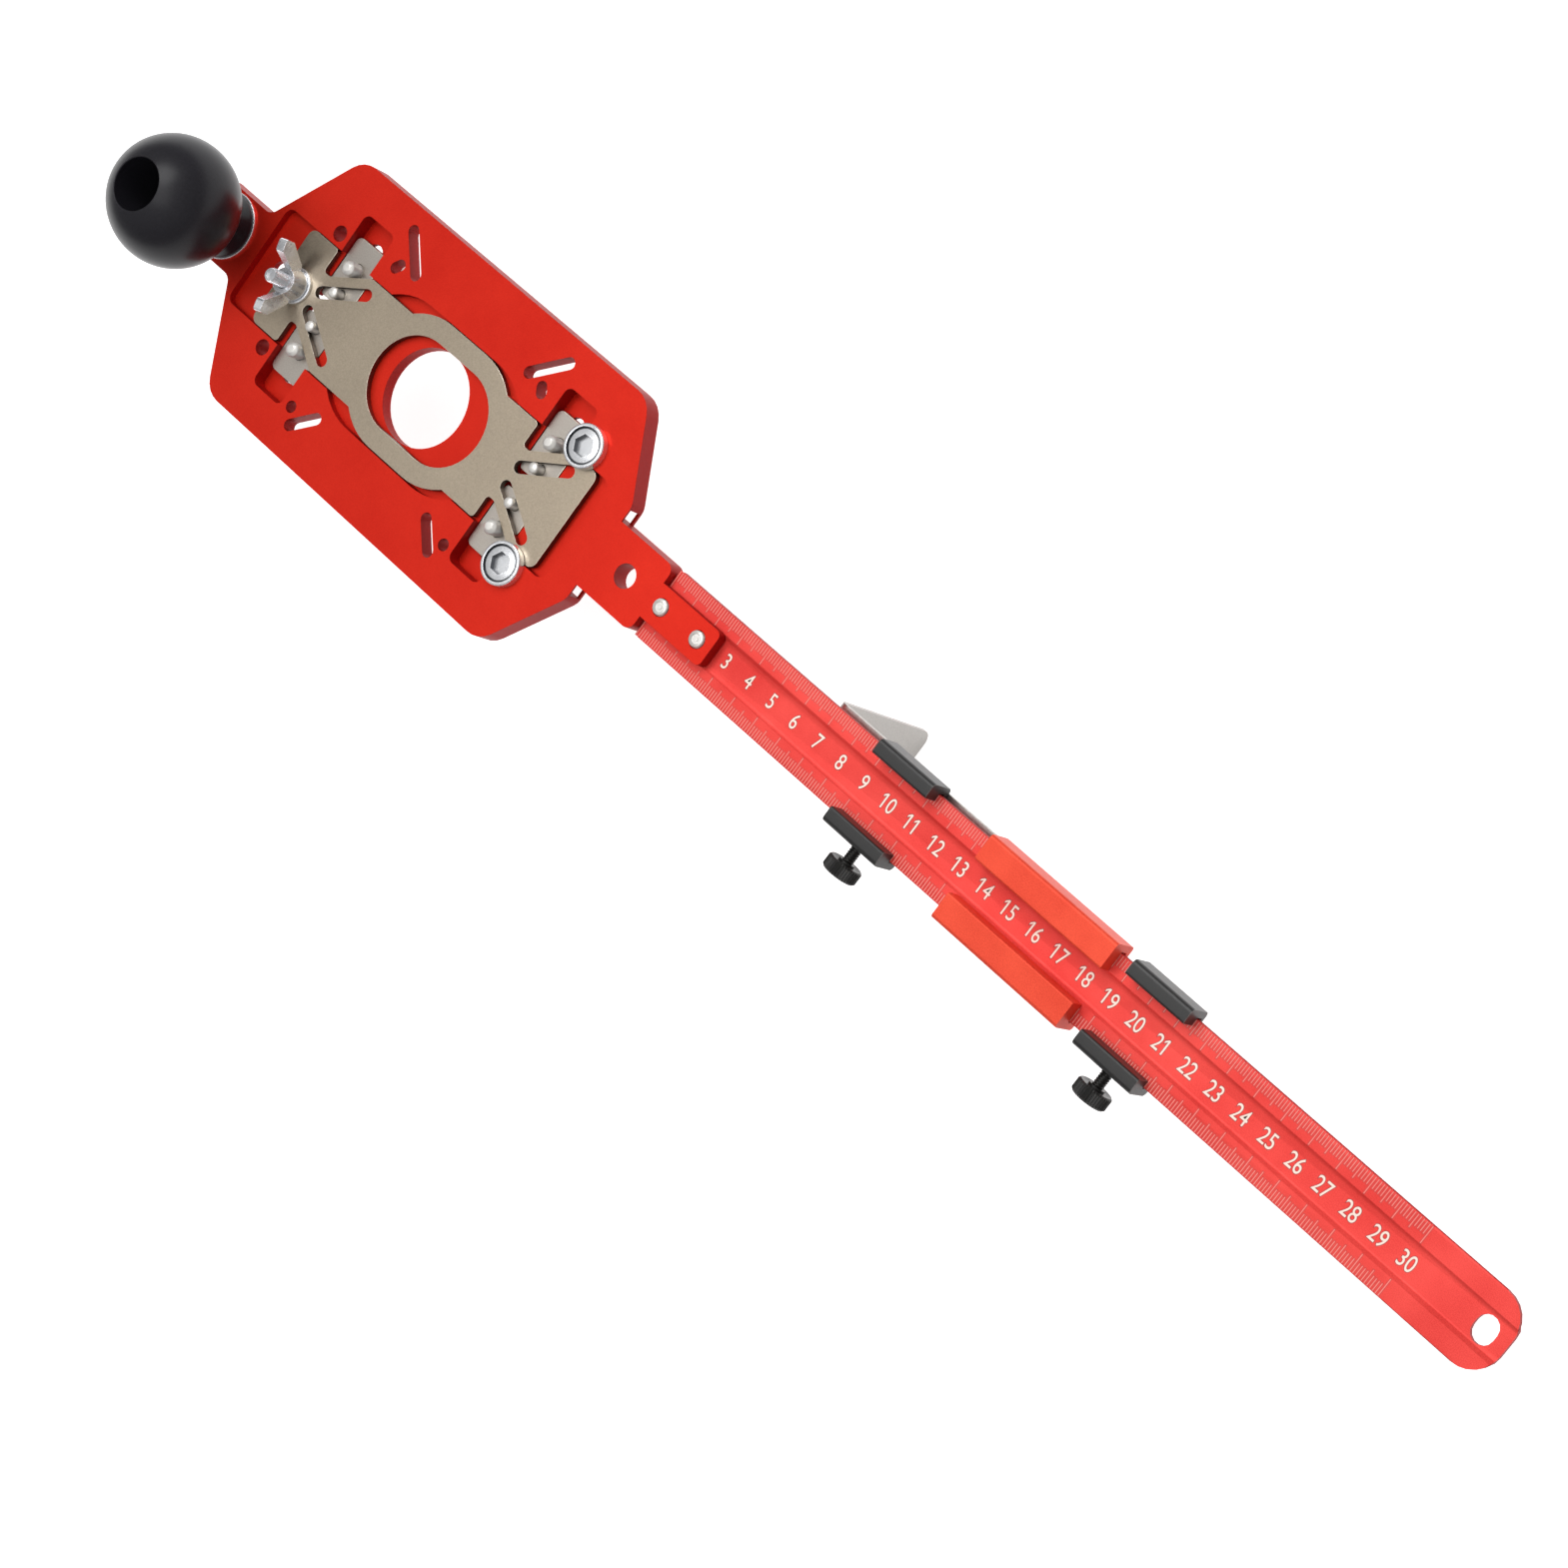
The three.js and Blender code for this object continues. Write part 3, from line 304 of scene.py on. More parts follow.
def stretched_coordinates(tree, stretch=EVEN):
    source = add_node(tree, "ShaderNodeTexCoord")
    mapping = add_node(tree, "ShaderNodeMapping")
    mapping.inputs["Scale"].default_value = stretch
    tree.links.new(source.outputs["Object"], mapping.inputs["Vector"])
    return mapping.outputs["Vector"]


def noise(tree, vector, per_metre, detail=NOISE_DETAIL):
    made = add_node(tree, "ShaderNodeTexNoise")
    set_inputs(made, Scale=per_metre, Detail=detail, Roughness=NOISE_ROUGHNESS)
    tree.links.new(vector, made.inputs["Vector"])
    return made.outputs["Fac"]


def two_tones(tree, shader, factor, dark, light):
    """Runs the base colour from the dark tone to the light one along a noise."""
    made = add_node(tree, "ShaderNodeValToRGB")
    low, high = made.color_ramp.elements
    low.position = NOISE_LOW
    low.color = (*dark, 1)
    high.position = NOISE_HIGH
    high.color = (*light, 1)
    tree.links.new(factor, made.inputs["Fac"])
    tree.links.new(made.outputs["Color"], shader.inputs["Base Color"])


def spread(tree, factor, low, high):
    made = add_node(tree, "ShaderNodeMapRange")
    set_inputs(made, To_Min=low, To_Max=high)
    tree.links.new(factor, made.inputs["Value"])
    return made.outputs["Result"]


def bump(tree, shader, height, strength, distance):
    made = add_node(tree, "ShaderNodeBump")
    set_inputs(made, Strength=strength, Distance=distance)
    tree.links.new(height, made.inputs["Height"])
    tree.links.new(made.outputs["Normal"], shader.inputs["Normal"])


def linear(colour):
    """The shader's values for a colour written in steps of 0 to 255, by the usual screen curve."""

    def one(value):
        share = value / 255
        return share / 12.92 if share <= 0.04045 else ((share + 0.055) / 1.055) ** 2.4

    return [one(value) for value in colour]


def coated(name, dark, light, roughness, grain=COAT_GRAIN, relief=COAT_RELIEF, **more):
    """A coat over metal: fine grain in colour, gloss and relief, and a slow drift of its colour."""
    material, tree, shader = new_material(name, **more)
    vector = stretched_coordinates(tree)
    fine = noise(tree, vector, grain, detail=2)
    slow = noise(tree, vector, COAT_BLOTCH)
    slow_part = add_node(tree, "ShaderNodeMath", operation="MULTIPLY")
    slow_part.inputs[1].default_value = 1 - COAT_FINE_SHARE
    tree.links.new(slow, slow_part.inputs[0])
    both = add_node(tree, "ShaderNodeMath", operation="MULTIPLY_ADD")
    both.inputs[1].default_value = COAT_FINE_SHARE
    tree.links.new(fine, both.inputs[0])
    tree.links.new(slow_part.outputs[0], both.inputs[2])
    two_tones(tree, shader, both.outputs[0], linear(dark), linear(light))
    rough = spread(tree, fine, roughness - COAT_GLOSSIER, roughness + COAT_DULLER)
    tree.links.new(rough, shader.inputs["Roughness"])
    bump(tree, shader, fine, relief, COAT_BUMP)
    return material


def bare(name, dark, light, roughness, grain, relief=METAL_RELIEF, stretch=EVEN, metallic=1.0):
    """Bare metal: a grain that can be drawn out along one direction, with soft cloudy stains."""
    material, tree, shader = new_material(name, Metallic=metallic)
    streaks = noise(tree, stretched_coordinates(tree, stretch), grain, detail=4)
    clouds = noise(tree, stretched_coordinates(tree), METAL_CLOUDS)
    mixed = add_node(tree, "ShaderNodeMix", data_type="FLOAT")
    mixed.inputs["Factor"].default_value = METAL_CLOUD_SHARE
    tree.links.new(streaks, mixed.inputs["A"])
    tree.links.new(clouds, mixed.inputs["B"])
    two_tones(tree, shader, mixed.outputs["Result"], linear(dark), linear(light))
    rough = spread(tree, streaks, roughness - METAL_GLOSSIER, roughness + METAL_DULLER)
    tree.links.new(rough, shader.inputs["Roughness"])
    bump(tree, shader, streaks, relief, METAL_BUMP)
    return material


def plate_paint():
    return coated(
        "plate_coat",
        dark=(206, 34, 20),
        light=(226, 48, 30),
        roughness=0.36,
        relief=0.06,
        Metallic=PLATE_METAL,
        Specular_IOR_Level=PAINT_GLOSS,
    )


# Dark red for the plate's rounded edges: painted shade, a dark line along every edge
def plate_edge_paint():
    return coated(
        "plate_edge_shade_coat",
        dark=(104, 6, 8),
        light=(132, 12, 12),
        roughness=0.4,
        Metallic=WALL_METAL,
        Specular_IOR_Level=WALL_GLOSS,
    )


# Darker red for the plate's upright walls: painted shade of walls turned away from the lamps
def plate_wall_paint():
    return coated(
        "plate_wall_shade_coat",
        dark=(144, 16, 14),
        light=(168, 24, 20),
        roughness=0.45,
        relief=0.06,
        Metallic=WALL_METAL,
        Specular_IOR_Level=WALL_GLOSS,
    )


def ruler_paint():
    return coated(
        "ruler_coat",
        dark=(212, 46, 42),
        light=(252, 88, 80),
        roughness=0.42,
        grain=3600,
        relief=0.2,
        Metallic=RULER_METAL,
        Specular_IOR_Level=PAINT_GLOSS,
    )


# Darker red for the ruler's outer walls and tip: painted shade
def ruler_wall_paint():
    return coated(
        "ruler_wall_shade_coat",
        dark=(150, 26, 26),
        light=(176, 36, 34),
        roughness=0.45,
        relief=0.06,
        Metallic=WALL_METAL,
        Specular_IOR_Level=WALL_GLOSS,
    )


def block_paint():
    return coated(
        "block_coat",
        dark=(206, 54, 34),
        light=(252, 94, 66),
        roughness=0.42,
        grain=3000,
        relief=0.25,
        Metallic=RULER_METAL,
        Specular_IOR_Level=PAINT_GLOSS,
    )


# Lighter red for the block's rounded edges: a painted highlight
def block_edge_paint():
    return coated(
        "block_edge_highlight_coat",
        dark=(236, 74, 50),
        light=(250, 104, 78),
        roughness=0.36,
        Metallic=RULER_METAL,
        Specular_IOR_Level=PAINT_GLOSS,
    )


def slide_steel():
    return bare(
        "slide_steel",
        dark=(164, 151, 134),
        light=(194, 180, 159),
        roughness=0.34,
        grain=2600,
        relief=0.03,
    )


# Pale steel for the rounded edges of the slide plate and jaws: a painted highlight
def slide_edge_steel():
    return bare(
        "slide_edge_steel",
        dark=(214, 203, 184),
        light=(240, 231, 214),
        roughness=0.3,
        grain=1500,
    )


def jaw_steel():
    return bare(
        "jaw_steel",
        dark=(174, 166, 157),
        light=(198, 191, 182),
        roughness=0.36,
        grain=2400,
        relief=0.03,
    )


# Dark steel for the upright walls of the slide plate and jaws: partly the dark face of a cut edge,
# partly painted shade in the slots
def cut_steel():
    return bare(
        "cut_steel",
        dark=(70, 60, 53),
        light=(104, 92, 82),
        roughness=0.45,
        grain=3000,
        stretch=UPRIGHT_STREAKS,
    )


def bracket_steel():
    return bare(
        "bracket_steel",
        dark=(150, 146, 142),
        light=(174, 170, 166),
        roughness=0.34,
        grain=1500,
        relief=0.04,
    )


def zinc():
    return bare(
        "bright_zinc",
        dark=(224, 226, 230),
        light=(244, 245, 247),
        roughness=0.25,
        grain=400,
        relief=0,
        metallic=0.88,
    )


# Dark zinc for the socket and the groove of the retainer screws: painted shade in these hollows
def worn_zinc():
    return bare(
        "worn_zinc",
        dark=(58, 60, 64),
        light=(92, 94, 98),
        roughness=0.3,
        grain=400,
        relief=0,
    )


def bright_steel():
    return bare(
        "bright_steel",
        dark=(216, 213, 207),
        light=(236, 233, 228),
        roughness=0.32,
        grain=600,
        relief=0,
        metallic=0.55,
    )


def dark_steel():
    return bare(
        "dark_steel",
        dark=(34, 33, 33),
        light=(58, 56, 55),
        roughness=0.36,
        grain=1800,
        relief=0.05,
        metallic=0.6,
    )


def clamp_black():
    return coated(
        "clamp_coat", dark=(20, 19, 19), light=(32, 31, 30), roughness=0.4, relief=0.1
    )


# Grey for the clamps' rounded edges: a painted highlight on the black
def clamp_edge_black():
    return coated("clamp_edge_highlight_coat", dark=(66, 64, 62), light=(92, 90, 86), roughness=0.36)


def thumb_black():
    return coated(
        "thumb_coat", dark=(30, 29, 29), light=(48, 47, 45), roughness=0.3, Metallic=0.4
    )


def knob_plastic():
    return coated(
        "knob_plastic",
        dark=(28, 27, 31),
        light=(36, 35, 40),
        roughness=0.31,
        grain=1500,
        relief=0.05,
        Specular_IOR_Level=KNOB_GLOSS,
    )


def nylon():
    return coated(
        "white_nylon",
        dark=(222, 220, 216),
        light=(238, 236, 232),
        roughness=0.42,
        grain=900,
        relief=0.08,
        Subsurface_Weight=0.15,
        Subsurface_Radius=(NYLON_GLOW_DEPTH, NYLON_GLOW_DEPTH, NYLON_GLOW_DEPTH),
    )


def mark_cream():
    return coated(
        "mark_cream", dark=(246, 122, 112), light=(253, 144, 132), roughness=0.5, relief=0.05
    )


def number_cream():
    return coated(
        "number_cream", dark=(250, 224, 208), light=(255, 240, 228), roughness=0.5, relief=0.05
    )


# Darker red in a band round each ruler mark: painted shade of the engraving
def mark_groove():
    return coated(
        "mark_groove", dark=(196, 38, 34), light=(214, 52, 46), roughness=0.5, relief=0.05
    )


# Dark red outline round each ruler number: painted shade
def number_wine():
    return coated(
        "number_wine", dark=(150, 34, 32), light=(176, 46, 42), roughness=0.5, relief=0.05
    )


FINISHES = {
    "plate": plate_paint(),
    "plate_edge_shade": plate_edge_paint(),
    "plate_wall_shade": plate_wall_paint(),
    "ruler": ruler_paint(),
    "ruler_wall_shade": ruler_wall_paint(),
    "block": block_paint(),
    "block_edge_highlight": block_edge_paint(),
    "slide": slide_steel(),
    "slide_edge_highlight": slide_edge_steel(),
    "jaw": jaw_steel(),
    "cut_steel": cut_steel(),
    "bracket": bracket_steel(),
    "zinc": zinc(),
    "worn_zinc": worn_zinc(),
    "steel": bright_steel(),
    "dark": dark_steel(),
    "clamp": clamp_black(),
    "clamp_edge_highlight": clamp_edge_black(),
    "thumb": thumb_black(),
    "knob": knob_plastic(),
    "nylon": nylon(),
    "mark": mark_cream(),
    "number": number_cream(),
    # The groove finish is the painted shade round each ruler mark
    "groove": mark_groove(),
    # Painted shade round each number
    "number_shade": number_wine(),
}


# Meshes


def finish_mesh(name, work, finishes, corner=CORNER_ANGLE):
    """Makes an object of a bmesh, smooth except at its corners."""
    mesh = bpy.data.meshes.new(name)
    work.to_mesh(mesh)
    work.free()
    mesh.shade_smooth()
    mesh.set_sharp_from_angle(angle=corner)
    for finish in finishes:
        mesh.materials.append(FINISHES[finish])
    made = bpy.data.objects.new(name, mesh)
    bpy.context.scene.collection.objects.link(made)
    weighted = made.modifiers.new("weighted", "WEIGHTED_NORMAL")
    weighted.keep_sharp = True
    weighted.weight = NORMAL_WEIGHT
    return made


def attach(piece, node):
    """The piece stands for the node, which it hides, and moves with its body."""
    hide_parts(node)
    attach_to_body(piece, body_of_node[node])


def welded_copy(node):
    work = bmesh.new()
    work.from_mesh(nodes[node].data)
    bmesh.ops.remove_doubles(work, verts=work.verts, dist=WELD)
    return work


def solid_of(node):
    """A welded copy of a node's mesh, with its flat faces joined."""
    work = welded_copy(node)
    bmesh.ops.dissolve_limit(work, angle_limit=FLAT_ANGLE, verts=work.verts, edges=work.edges)
    return work


def soften(work, width, finish_index, segments=EDGE_STEPS):
    """Rounds every corner edge by a small bevel with a finish of its own."""
    corners = [edge for edge in work.edges if edge.calc_face_angle(0) > CORNER_ANGLE]
    bmesh.ops.bevel(
        work,
        geom=corners,
        offset=width,
        offset_type="OFFSET",
        segments=segments,
        profile=ROUND_PROFILE,
        affect="EDGES",
        clamp_overlap=True,
        material=finish_index,
    )


def upright(face):
    return abs(face.normal.z) < WALL_LEAN


def dressed(node, edge, finishes, wall=None):
    """The solid with its edges rounded in the last finish, and its upright faces in a wall one."""
    edge_finish = len(finishes) - 1
    work = solid_of(node)
    if wall:
        finishes = [*finishes, wall]
        for face in filter(upright, work.faces):
            face.material_index = len(finishes) - 1
    soften(work, edge, edge_finish)
    attach(finish_mesh(node + "_form", work, finishes), node)


def low_of(node):
    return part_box(node)[0]


def high_of(node):
    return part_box(node)[1]


def centre_of(node):
    low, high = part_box(node)
    return (low + high) / 2


def radius_of(node):
    """The radius of a node that stands upright."""
    return high_of(node).y - centre_of(node).y


# Turned pieces


def plain(radius, angle, height):
    return radius


def hexagon(radius, angle, height):
    """A six-sided socket or head whose corners lie on the radius."""
    side = TURN / SOCKET_SIDES
    off_middle = angle % side - side / 2
    return radius * math.cos(side / 2) / math.cos(off_middle)


def triangle_wave(phase):
    return abs(2 * (phase % 1) - 1)


def thread(radius, angle, height):
    return radius - THREAD_DEPTH * triangle_wave(height / THREAD_PITCH - angle / TURN)


def knurl(radius, angle, height):
    return radius - THUMB_FLUTE_DEPTH * triangle_wave(THUMB_FLUTES * angle / TURN)


def cross(radius, angle, height):
    """A cross recess: four arms as long as the radius."""
    off_arm = (angle + TURN / 8) % (TURN / 4) - TURN / 8
    return min(radius, CROSS_HALF_WIDTH / max(abs(math.sin(off_arm)), NEARLY_ZERO))


def ring_of(work, radius, height, form, steps):
    ring = []
    for step in range(steps):
        angle = TURN * step / steps
        reach = form(radius, angle, height)
        ring.append(work.verts.new((reach * math.cos(angle), reach * math.sin(angle), height)))
    return ring


def turned(rows, steps, closed=False):
    """A bmesh turned about the z axis through rows of radius, height and, if not round, form."""
    work = bmesh.new()
    rings = []
    for radius, height, *form in rows:
        rings.append(ring_of(work, radius, height, form[0] if form else plain, steps))
    if closed:
        rings.append(rings[0])
    for low, high in zip(rings, rings[1:]):
        for here in range(steps):
            there = (here + 1) % steps
            work.faces.new((low[here], low[there], high[there], high[here]))
    bmesh.ops.remove_doubles(work, verts=work.verts, dist=WELD)
    bmesh.ops.recalc_face_normals(work, faces=work.faces)
    return work


def arc_rows(radius, height, bend, start, end, count=ARC_STEPS):
    """Rows along an arc about (radius, height), from one direction to another."""
    rows = []
    for step in range(count + 1):
        angle = math.radians(start + (end - start) * step / count)
        rows.append((radius + bend * math.cos(angle), height + bend * math.sin(angle)))
    return rows


def thread_rows(radius, start, end):
    count = max(1, round(abs(end - start) / THREAD_PITCH * THREAD_SAMPLES))
    return [(radius, start + (end - start) * step / count, thread) for step in range(count + 1)]


def socket_rows(radius, mouth, floor, form=hexagon):
    return [(0, floor), (radius, floor, form), (radius, mouth, form)]


def stand(work, node, height=0.0):
    """Moves a turned piece onto the upright axis of its node."""
    centre = centre_of(node)
    bmesh.ops.translate(work, verts=work.verts, vec=(centre.x, centre.y, height))
    return work


def turned_piece(node, finishes, rows, steps=SMALL_STEPS, height=0.0, closed=False):
    """A piece whose rows are heights in the scene, or above the given height."""
    work = stand(turned(rows, steps, closed), node, height)
    attach(finish_mesh(node + "_form", work, finishes), node)


def knob_rows():
    """Up the foot and the waist, over the ball and down its bore."""
    foot = low_of("knob_ball").z - high_of("base_plate").z
    neck = math.degrees(math.asin(KNOB_NECK_RADIUS / KNOB_RADIUS))
    rim = math.degrees(math.asin((KNOB_BORE_RADIUS + KNOB_BORE_ROUND) / KNOB_RADIUS))
    rim_height = KNOB_CENTRE + KNOB_RADIUS * math.cos(math.radians(rim))
    inner = KNOB_FOOT_RADIUS - WASHER_ROUND
    foot_top = foot + KNOB_FOOT_HEIGHT
    lip = (KNOB_BORE_RADIUS + KNOB_BORE_ROUND, rim_height - KNOB_BORE_ROUND)
    return [
        (KNOB_SCREW_HOLE, foot),
        *arc_rows(inner, foot + WASHER_ROUND, WASHER_ROUND, DOWN, OUT),
        (KNOB_FOOT_RADIUS, foot_top),
        (KNOB_NECK_RADIUS, KNOB_WAIST),
        *arc_rows(0, KNOB_CENTRE, KNOB_RADIUS, DOWN + neck, UP - rim, KNOB_ARC_STEPS),
        *arc_rows(*lip, KNOB_BORE_ROUND, UP, IN),
        (KNOB_BORE_RADIUS, KNOB_BORE_FLOOR),
        (KNOB_SCREW_HOLE, KNOB_BORE_FLOOR),
    ]


def washer_rows(node, bore):
    low, high = low_of(node).z, high_of(node).z
    inner = radius_of(node) - WASHER_ROUND
    return [
        (bore, low),
        *arc_rows(inner, low + WASHER_ROUND, WASHER_ROUND, DOWN, OUT),
        *arc_rows(inner, high - WASHER_ROUND, WASHER_ROUND, OUT, UP),
        (bore, high),
    ]


def knob_screw_rows():
    low, high = low_of("knob_screw").z, high_of("knob_screw").z
    floor = high_of("base_plate").z + KNOB_BORE_FLOOR
    shank = KNOB_SCREW_HOLE - SCREW_CLEARANCE
    head = radius_of("knob_screw")
    return [
        (0, low),
        (shank, low),
        (shank, floor),
        (head, floor),
        *arc_rows(head - WASHER_ROUND, high - WASHER_ROUND, WASHER_ROUND, OUT, UP),
        *reversed(socket_rows(KNOB_SOCKET_RADIUS, high, high - KNOB_SOCKET_DEPTH)),
    ]


def bolt_tip_rows(tip):
    height = tip - BOLT_TIP_ROUND
    slant = (OUT + UP) / 2
    return [
        (BOLT_TIP_SHOULDER, tip - BOLT_TIP_SLOPE),
        *arc_rows(BOLT_TIP_FLAT, height, BOLT_TIP_ROUND, slant, UP, SHORT_ARC_STEPS),
        (0, tip),
    ]


def roller_bolt_rows(node):
    low, tip = low_of(node).z, high_of(node).z
    head_radius = radius_of(node)
    jaw_bottom = low_of(node.replace("roller_bolt", "jaw")).z
    head_top = low + BOLT_HEAD_HEIGHT
    return [
        *socket_rows(BOLT_SOCKET_RADIUS, low, low + BOLT_SOCKET_DEPTH),
        (head_radius - BOLT_HEAD_CHAMFER, low),
        (head_radius, low + BOLT_HEAD_CHAMFER),
        (head_radius, head_top),
        (BOLT_RADIUS, head_top),
        (BOLT_RADIUS, jaw_bottom),
        *thread_rows(BOLT_RADIUS, jaw_bottom, tip - BOLT_TIP_LENGTH),
        *bolt_tip_rows(tip),
    ]


def roller_rows(node):
    low, high = low_of(node).z, high_of(node).z
    radius = radius_of(node)
    inner = radius - ROLLER_ROUND
    recess_floor = low + ROLLER_RECESS_DEPTH
    return [
        (ROLLER_BORE, high),
        (ROLLER_BORE, recess_floor),
        (ROLLER_RECESS_RADIUS, recess_floor),
        (ROLLER_RECESS_RADIUS, low + FINE_ROUND),
        (ROLLER_RECESS_RADIUS + FINE_ROUND, low),
        *arc_rows(inner, low + ROLLER_ROUND, ROLLER_ROUND, DOWN, OUT),
        *arc_rows(inner, high - ROLLER_ROUND, ROLLER_ROUND, OUT, UP),
    ]


def pin_rows(node):
    low, tip = low_of(node).z, high_of(node).z
    radius = radius_of(node)
    dome = []
    for step in range(DOME_STEPS + 1):
        angle = TURN / 4 * step / DOME_STEPS
        dome.append((radius * math.cos(angle), tip - PIN_DOME * (1 - math.sin(angle))))
    return [(0, low), (radius, low), *dome]


def retainer_rows(node):
    low, top = low_of(node).z, high_of(node).z
    radius = radius_of(node)
    seat = top - RETAINER_HEAD_HEIGHT
    rim = radius - RETAINER_RIM
    dish = top - RETAINER_DISH
    groove = rim - RETAINER_GROOVE
    crown = dish + RETAINER_SWELL
    foot = (radius - FINE_ROUND, seat + FINE_ROUND)
    lip = (rim + FINE_ROUND, top - FINE_ROUND)
    return [
        (0, low),
        (RETAINER_SHANK, low),
        (RETAINER_SHANK, seat),
        *arc_rows(*foot, FINE_ROUND, DOWN, OUT, SHORT_ARC_STEPS),
        *arc_rows(radius - RETAINER_ROUND, top - RETAINER_ROUND, RETAINER_ROUND, OUT, UP),
        *arc_rows(*lip, FINE_ROUND, UP, IN, SHORT_ARC_STEPS),
        (rim, dish),
        (groove, dish),
        (groove - RETAINER_GROOVE, dish + RETAINER_SWELL / 2),
        (RETAINER_SOCKET_RADIUS + RETAINER_GROOVE, crown),
        *reversed(socket_rows(RETAINER_SOCKET_RADIUS, crown, crown - RETAINER_SOCKET_DEPTH)),
    ]


def clamp_bolt_rows():
    low, tip = low_of("clamp_bolt").z, high_of("clamp_bolt").z
    head = CLAMP_HEAD_FLATS / 2 / math.cos(TURN / SOCKET_SIDES / 2)
    head_top = low + CLAMP_HEAD_HEIGHT
    shoulder = tip - (BOLT_RADIUS - CLAMP_TIP_RADIUS)
    return [
        (0, low),
        (head, low, hexagon),
        (head, head_top, hexagon),
        (BOLT_RADIUS, head_top),
        *thread_rows(BOLT_RADIUS, head_top + THREAD_PITCH, shoulder - THREAD_DEPTH),
        (BOLT_RADIUS - FINE_ROUND, shoulder),
        (CLAMP_TIP_RADIUS, tip),
        *reversed(socket_rows(CLAMP_SOCKET_RADIUS, tip, tip - CLAMP_SOCKET_DEPTH)),
    ]


def thumb_rows(length):
    face = THUMB_SHANK_LENGTH
    rim = THUMB_HEAD_RADIUS - THUMB_HEAD_CHAMFER
    dish = rim - THUMB_RIM
    collar = face - THUMB_COLLAR_HEIGHT
    return [
        (0, 0),
        *thread_rows(THUMB_SHANK_RADIUS, 0, collar),
        (THUMB_COLLAR_RADIUS, collar),
        (THUMB_COLLAR_RADIUS, face + THUMB_COLLAR_HEIGHT / 2),
        (dish, face + THUMB_COLLAR_HEIGHT / 2),
        (rim - THUMB_FLUTE_DEPTH, face),
        (rim, face),
        (THUMB_HEAD_RADIUS, face + THUMB_HEAD_CHAMFER, knurl),
        (THUMB_HEAD_RADIUS, length - THUMB_HEAD_CHAMFER, knurl),
        (rim, length),
        (dish + THUMB_FLUTE_DEPTH, length),
        (dish - THUMB_FACE_SINK, length - THUMB_FACE_SINK),
        (0, length - THUMB_FACE_SINK),
    ]


def bracket_screw_rows(node):
    """A round-headed screw that is driven from below, with a cross recess."""
    low, high = low_of(node).z, high_of(node).z
    radius = radius_of(node)
    seat = low + BRACKET_HEAD_HEIGHT
    arms = CROSS_LENGTH_SHARE * radius
    rise = (1 - HEAD_DROP_SHARE) * BRACKET_HEAD_HEIGHT
    dome = []
    for step in range(HEAD_DOME_STEPS + 1):
        angle = TURN / 4 * step / HEAD_DOME_STEPS
        reach = arms + (radius - arms) * math.sin(angle)
        dome.append((reach, low + rise * (1 - math.cos(angle))))
    return [
        *socket_rows(arms, low, low + CROSS_DEPTH, cross),
        *dome,
        (radius, seat),
        (BRACKET_SCREW_RADIUS, seat),
        *thread_rows(BRACKET_SCREW_RADIUS, seat, high - BRACKET_TIP_SLOPE),
        (BRACKET_SCREW_RADIUS - BRACKET_TIP_INSET, high),
        (0, high),
    ]


def ruler_screw_rows(node):
    """A countersunk screw driven from below, whose threaded end stands out of the tongue."""
    low, high = low_of(node).z, high_of(node).z
    radius = radius_of(node)
    head_top = low + RULER_HEAD_HEIGHT
    return [
        *socket_rows(radius * CROSS_LENGTH_SHARE, low, low + CROSS_DEPTH, cross),
        (radius, low),
        (RULER_SCREW_RADIUS, head_top),
        *thread_rows(RULER_SCREW_RADIUS, head_top + THREAD_PITCH, high - RULER_TIP_SLOPE),
        (RULER_SCREW_RADIUS - RULER_TIP_SLOPE, high - FINE_ROUND),
        (RULER_TIP_RIM, high),
        (RULER_TIP_FLAT, high - RULER_TIP_RING),
        (RULER_TIP_CORE, high - RULER_TIP_RING),
        (RULER_TIP_CORE - FINE_ROUND, high - FINE_ROUND),
        (0, high - FINE_ROUND),
    ]


def thumb_screw(node):
    centre = centre_of(node)
    tip = high_of(node).y
    work = turned(thumb_rows(tip - low_of(node).y), THUMB_STEPS)
    work.transform(Matrix.Rotation(TURN / 4, 4, "X"))
    bmesh.ops.translate(work, verts=work.verts, vec=(centre.x, tip, centre.z))
    attach(finish_mesh(node + "_form", work, ["thumb"]), node)


def retainer_screw(node):
    """A wide dished screw, with painted shade in its socket and in the groove inside its rim."""
    centre = centre_of(node)
    groove = radius_of(node) - RETAINER_RIM
    work = stand(turned(retainer_rows(node), FINE_STEPS), node)
    for face in work.faces:
        place = face.calc_center_median()
        reach = math.hypot(place.x - centre.x, place.y - centre.y)
        in_socket = reach < RETAINER_SOCKET_RADIUS and upright(face)
        in_groove = groove - RETAINER_GROOVE < reach < groove + FINE_ROUND
        if in_socket or (in_groove and face.normal.z >= 0):
            face.material_index = 1
    attach(finish_mesh(node + "_form", work, ["zinc", "worn_zinc"]), node)


def wing_nut():
    work = solid_of("wing_nut")
    soften(work, WING_ROUND, 0, WING_STEPS)
    attach(finish_mesh("wing_nut_form", work, ["zinc"], WING_CORNER), "wing_nut")


def ruler_form():
    """The ruler keeps its sharp edges, and its outer walls carry painted shade, darker than its
    faces.
    """
    work = welded_copy("ruler")
    for face in filter(upright, work.faces):
        place = face.calc_center_median()
        if abs(place.y) > MARK_OUTER or place.x > RULER_TIP_START:
            face.material_index = 1
    attach(finish_mesh("ruler_form", work, ["ruler", "ruler_wall_shade"]), "ruler")


# Ruler marks and numbers


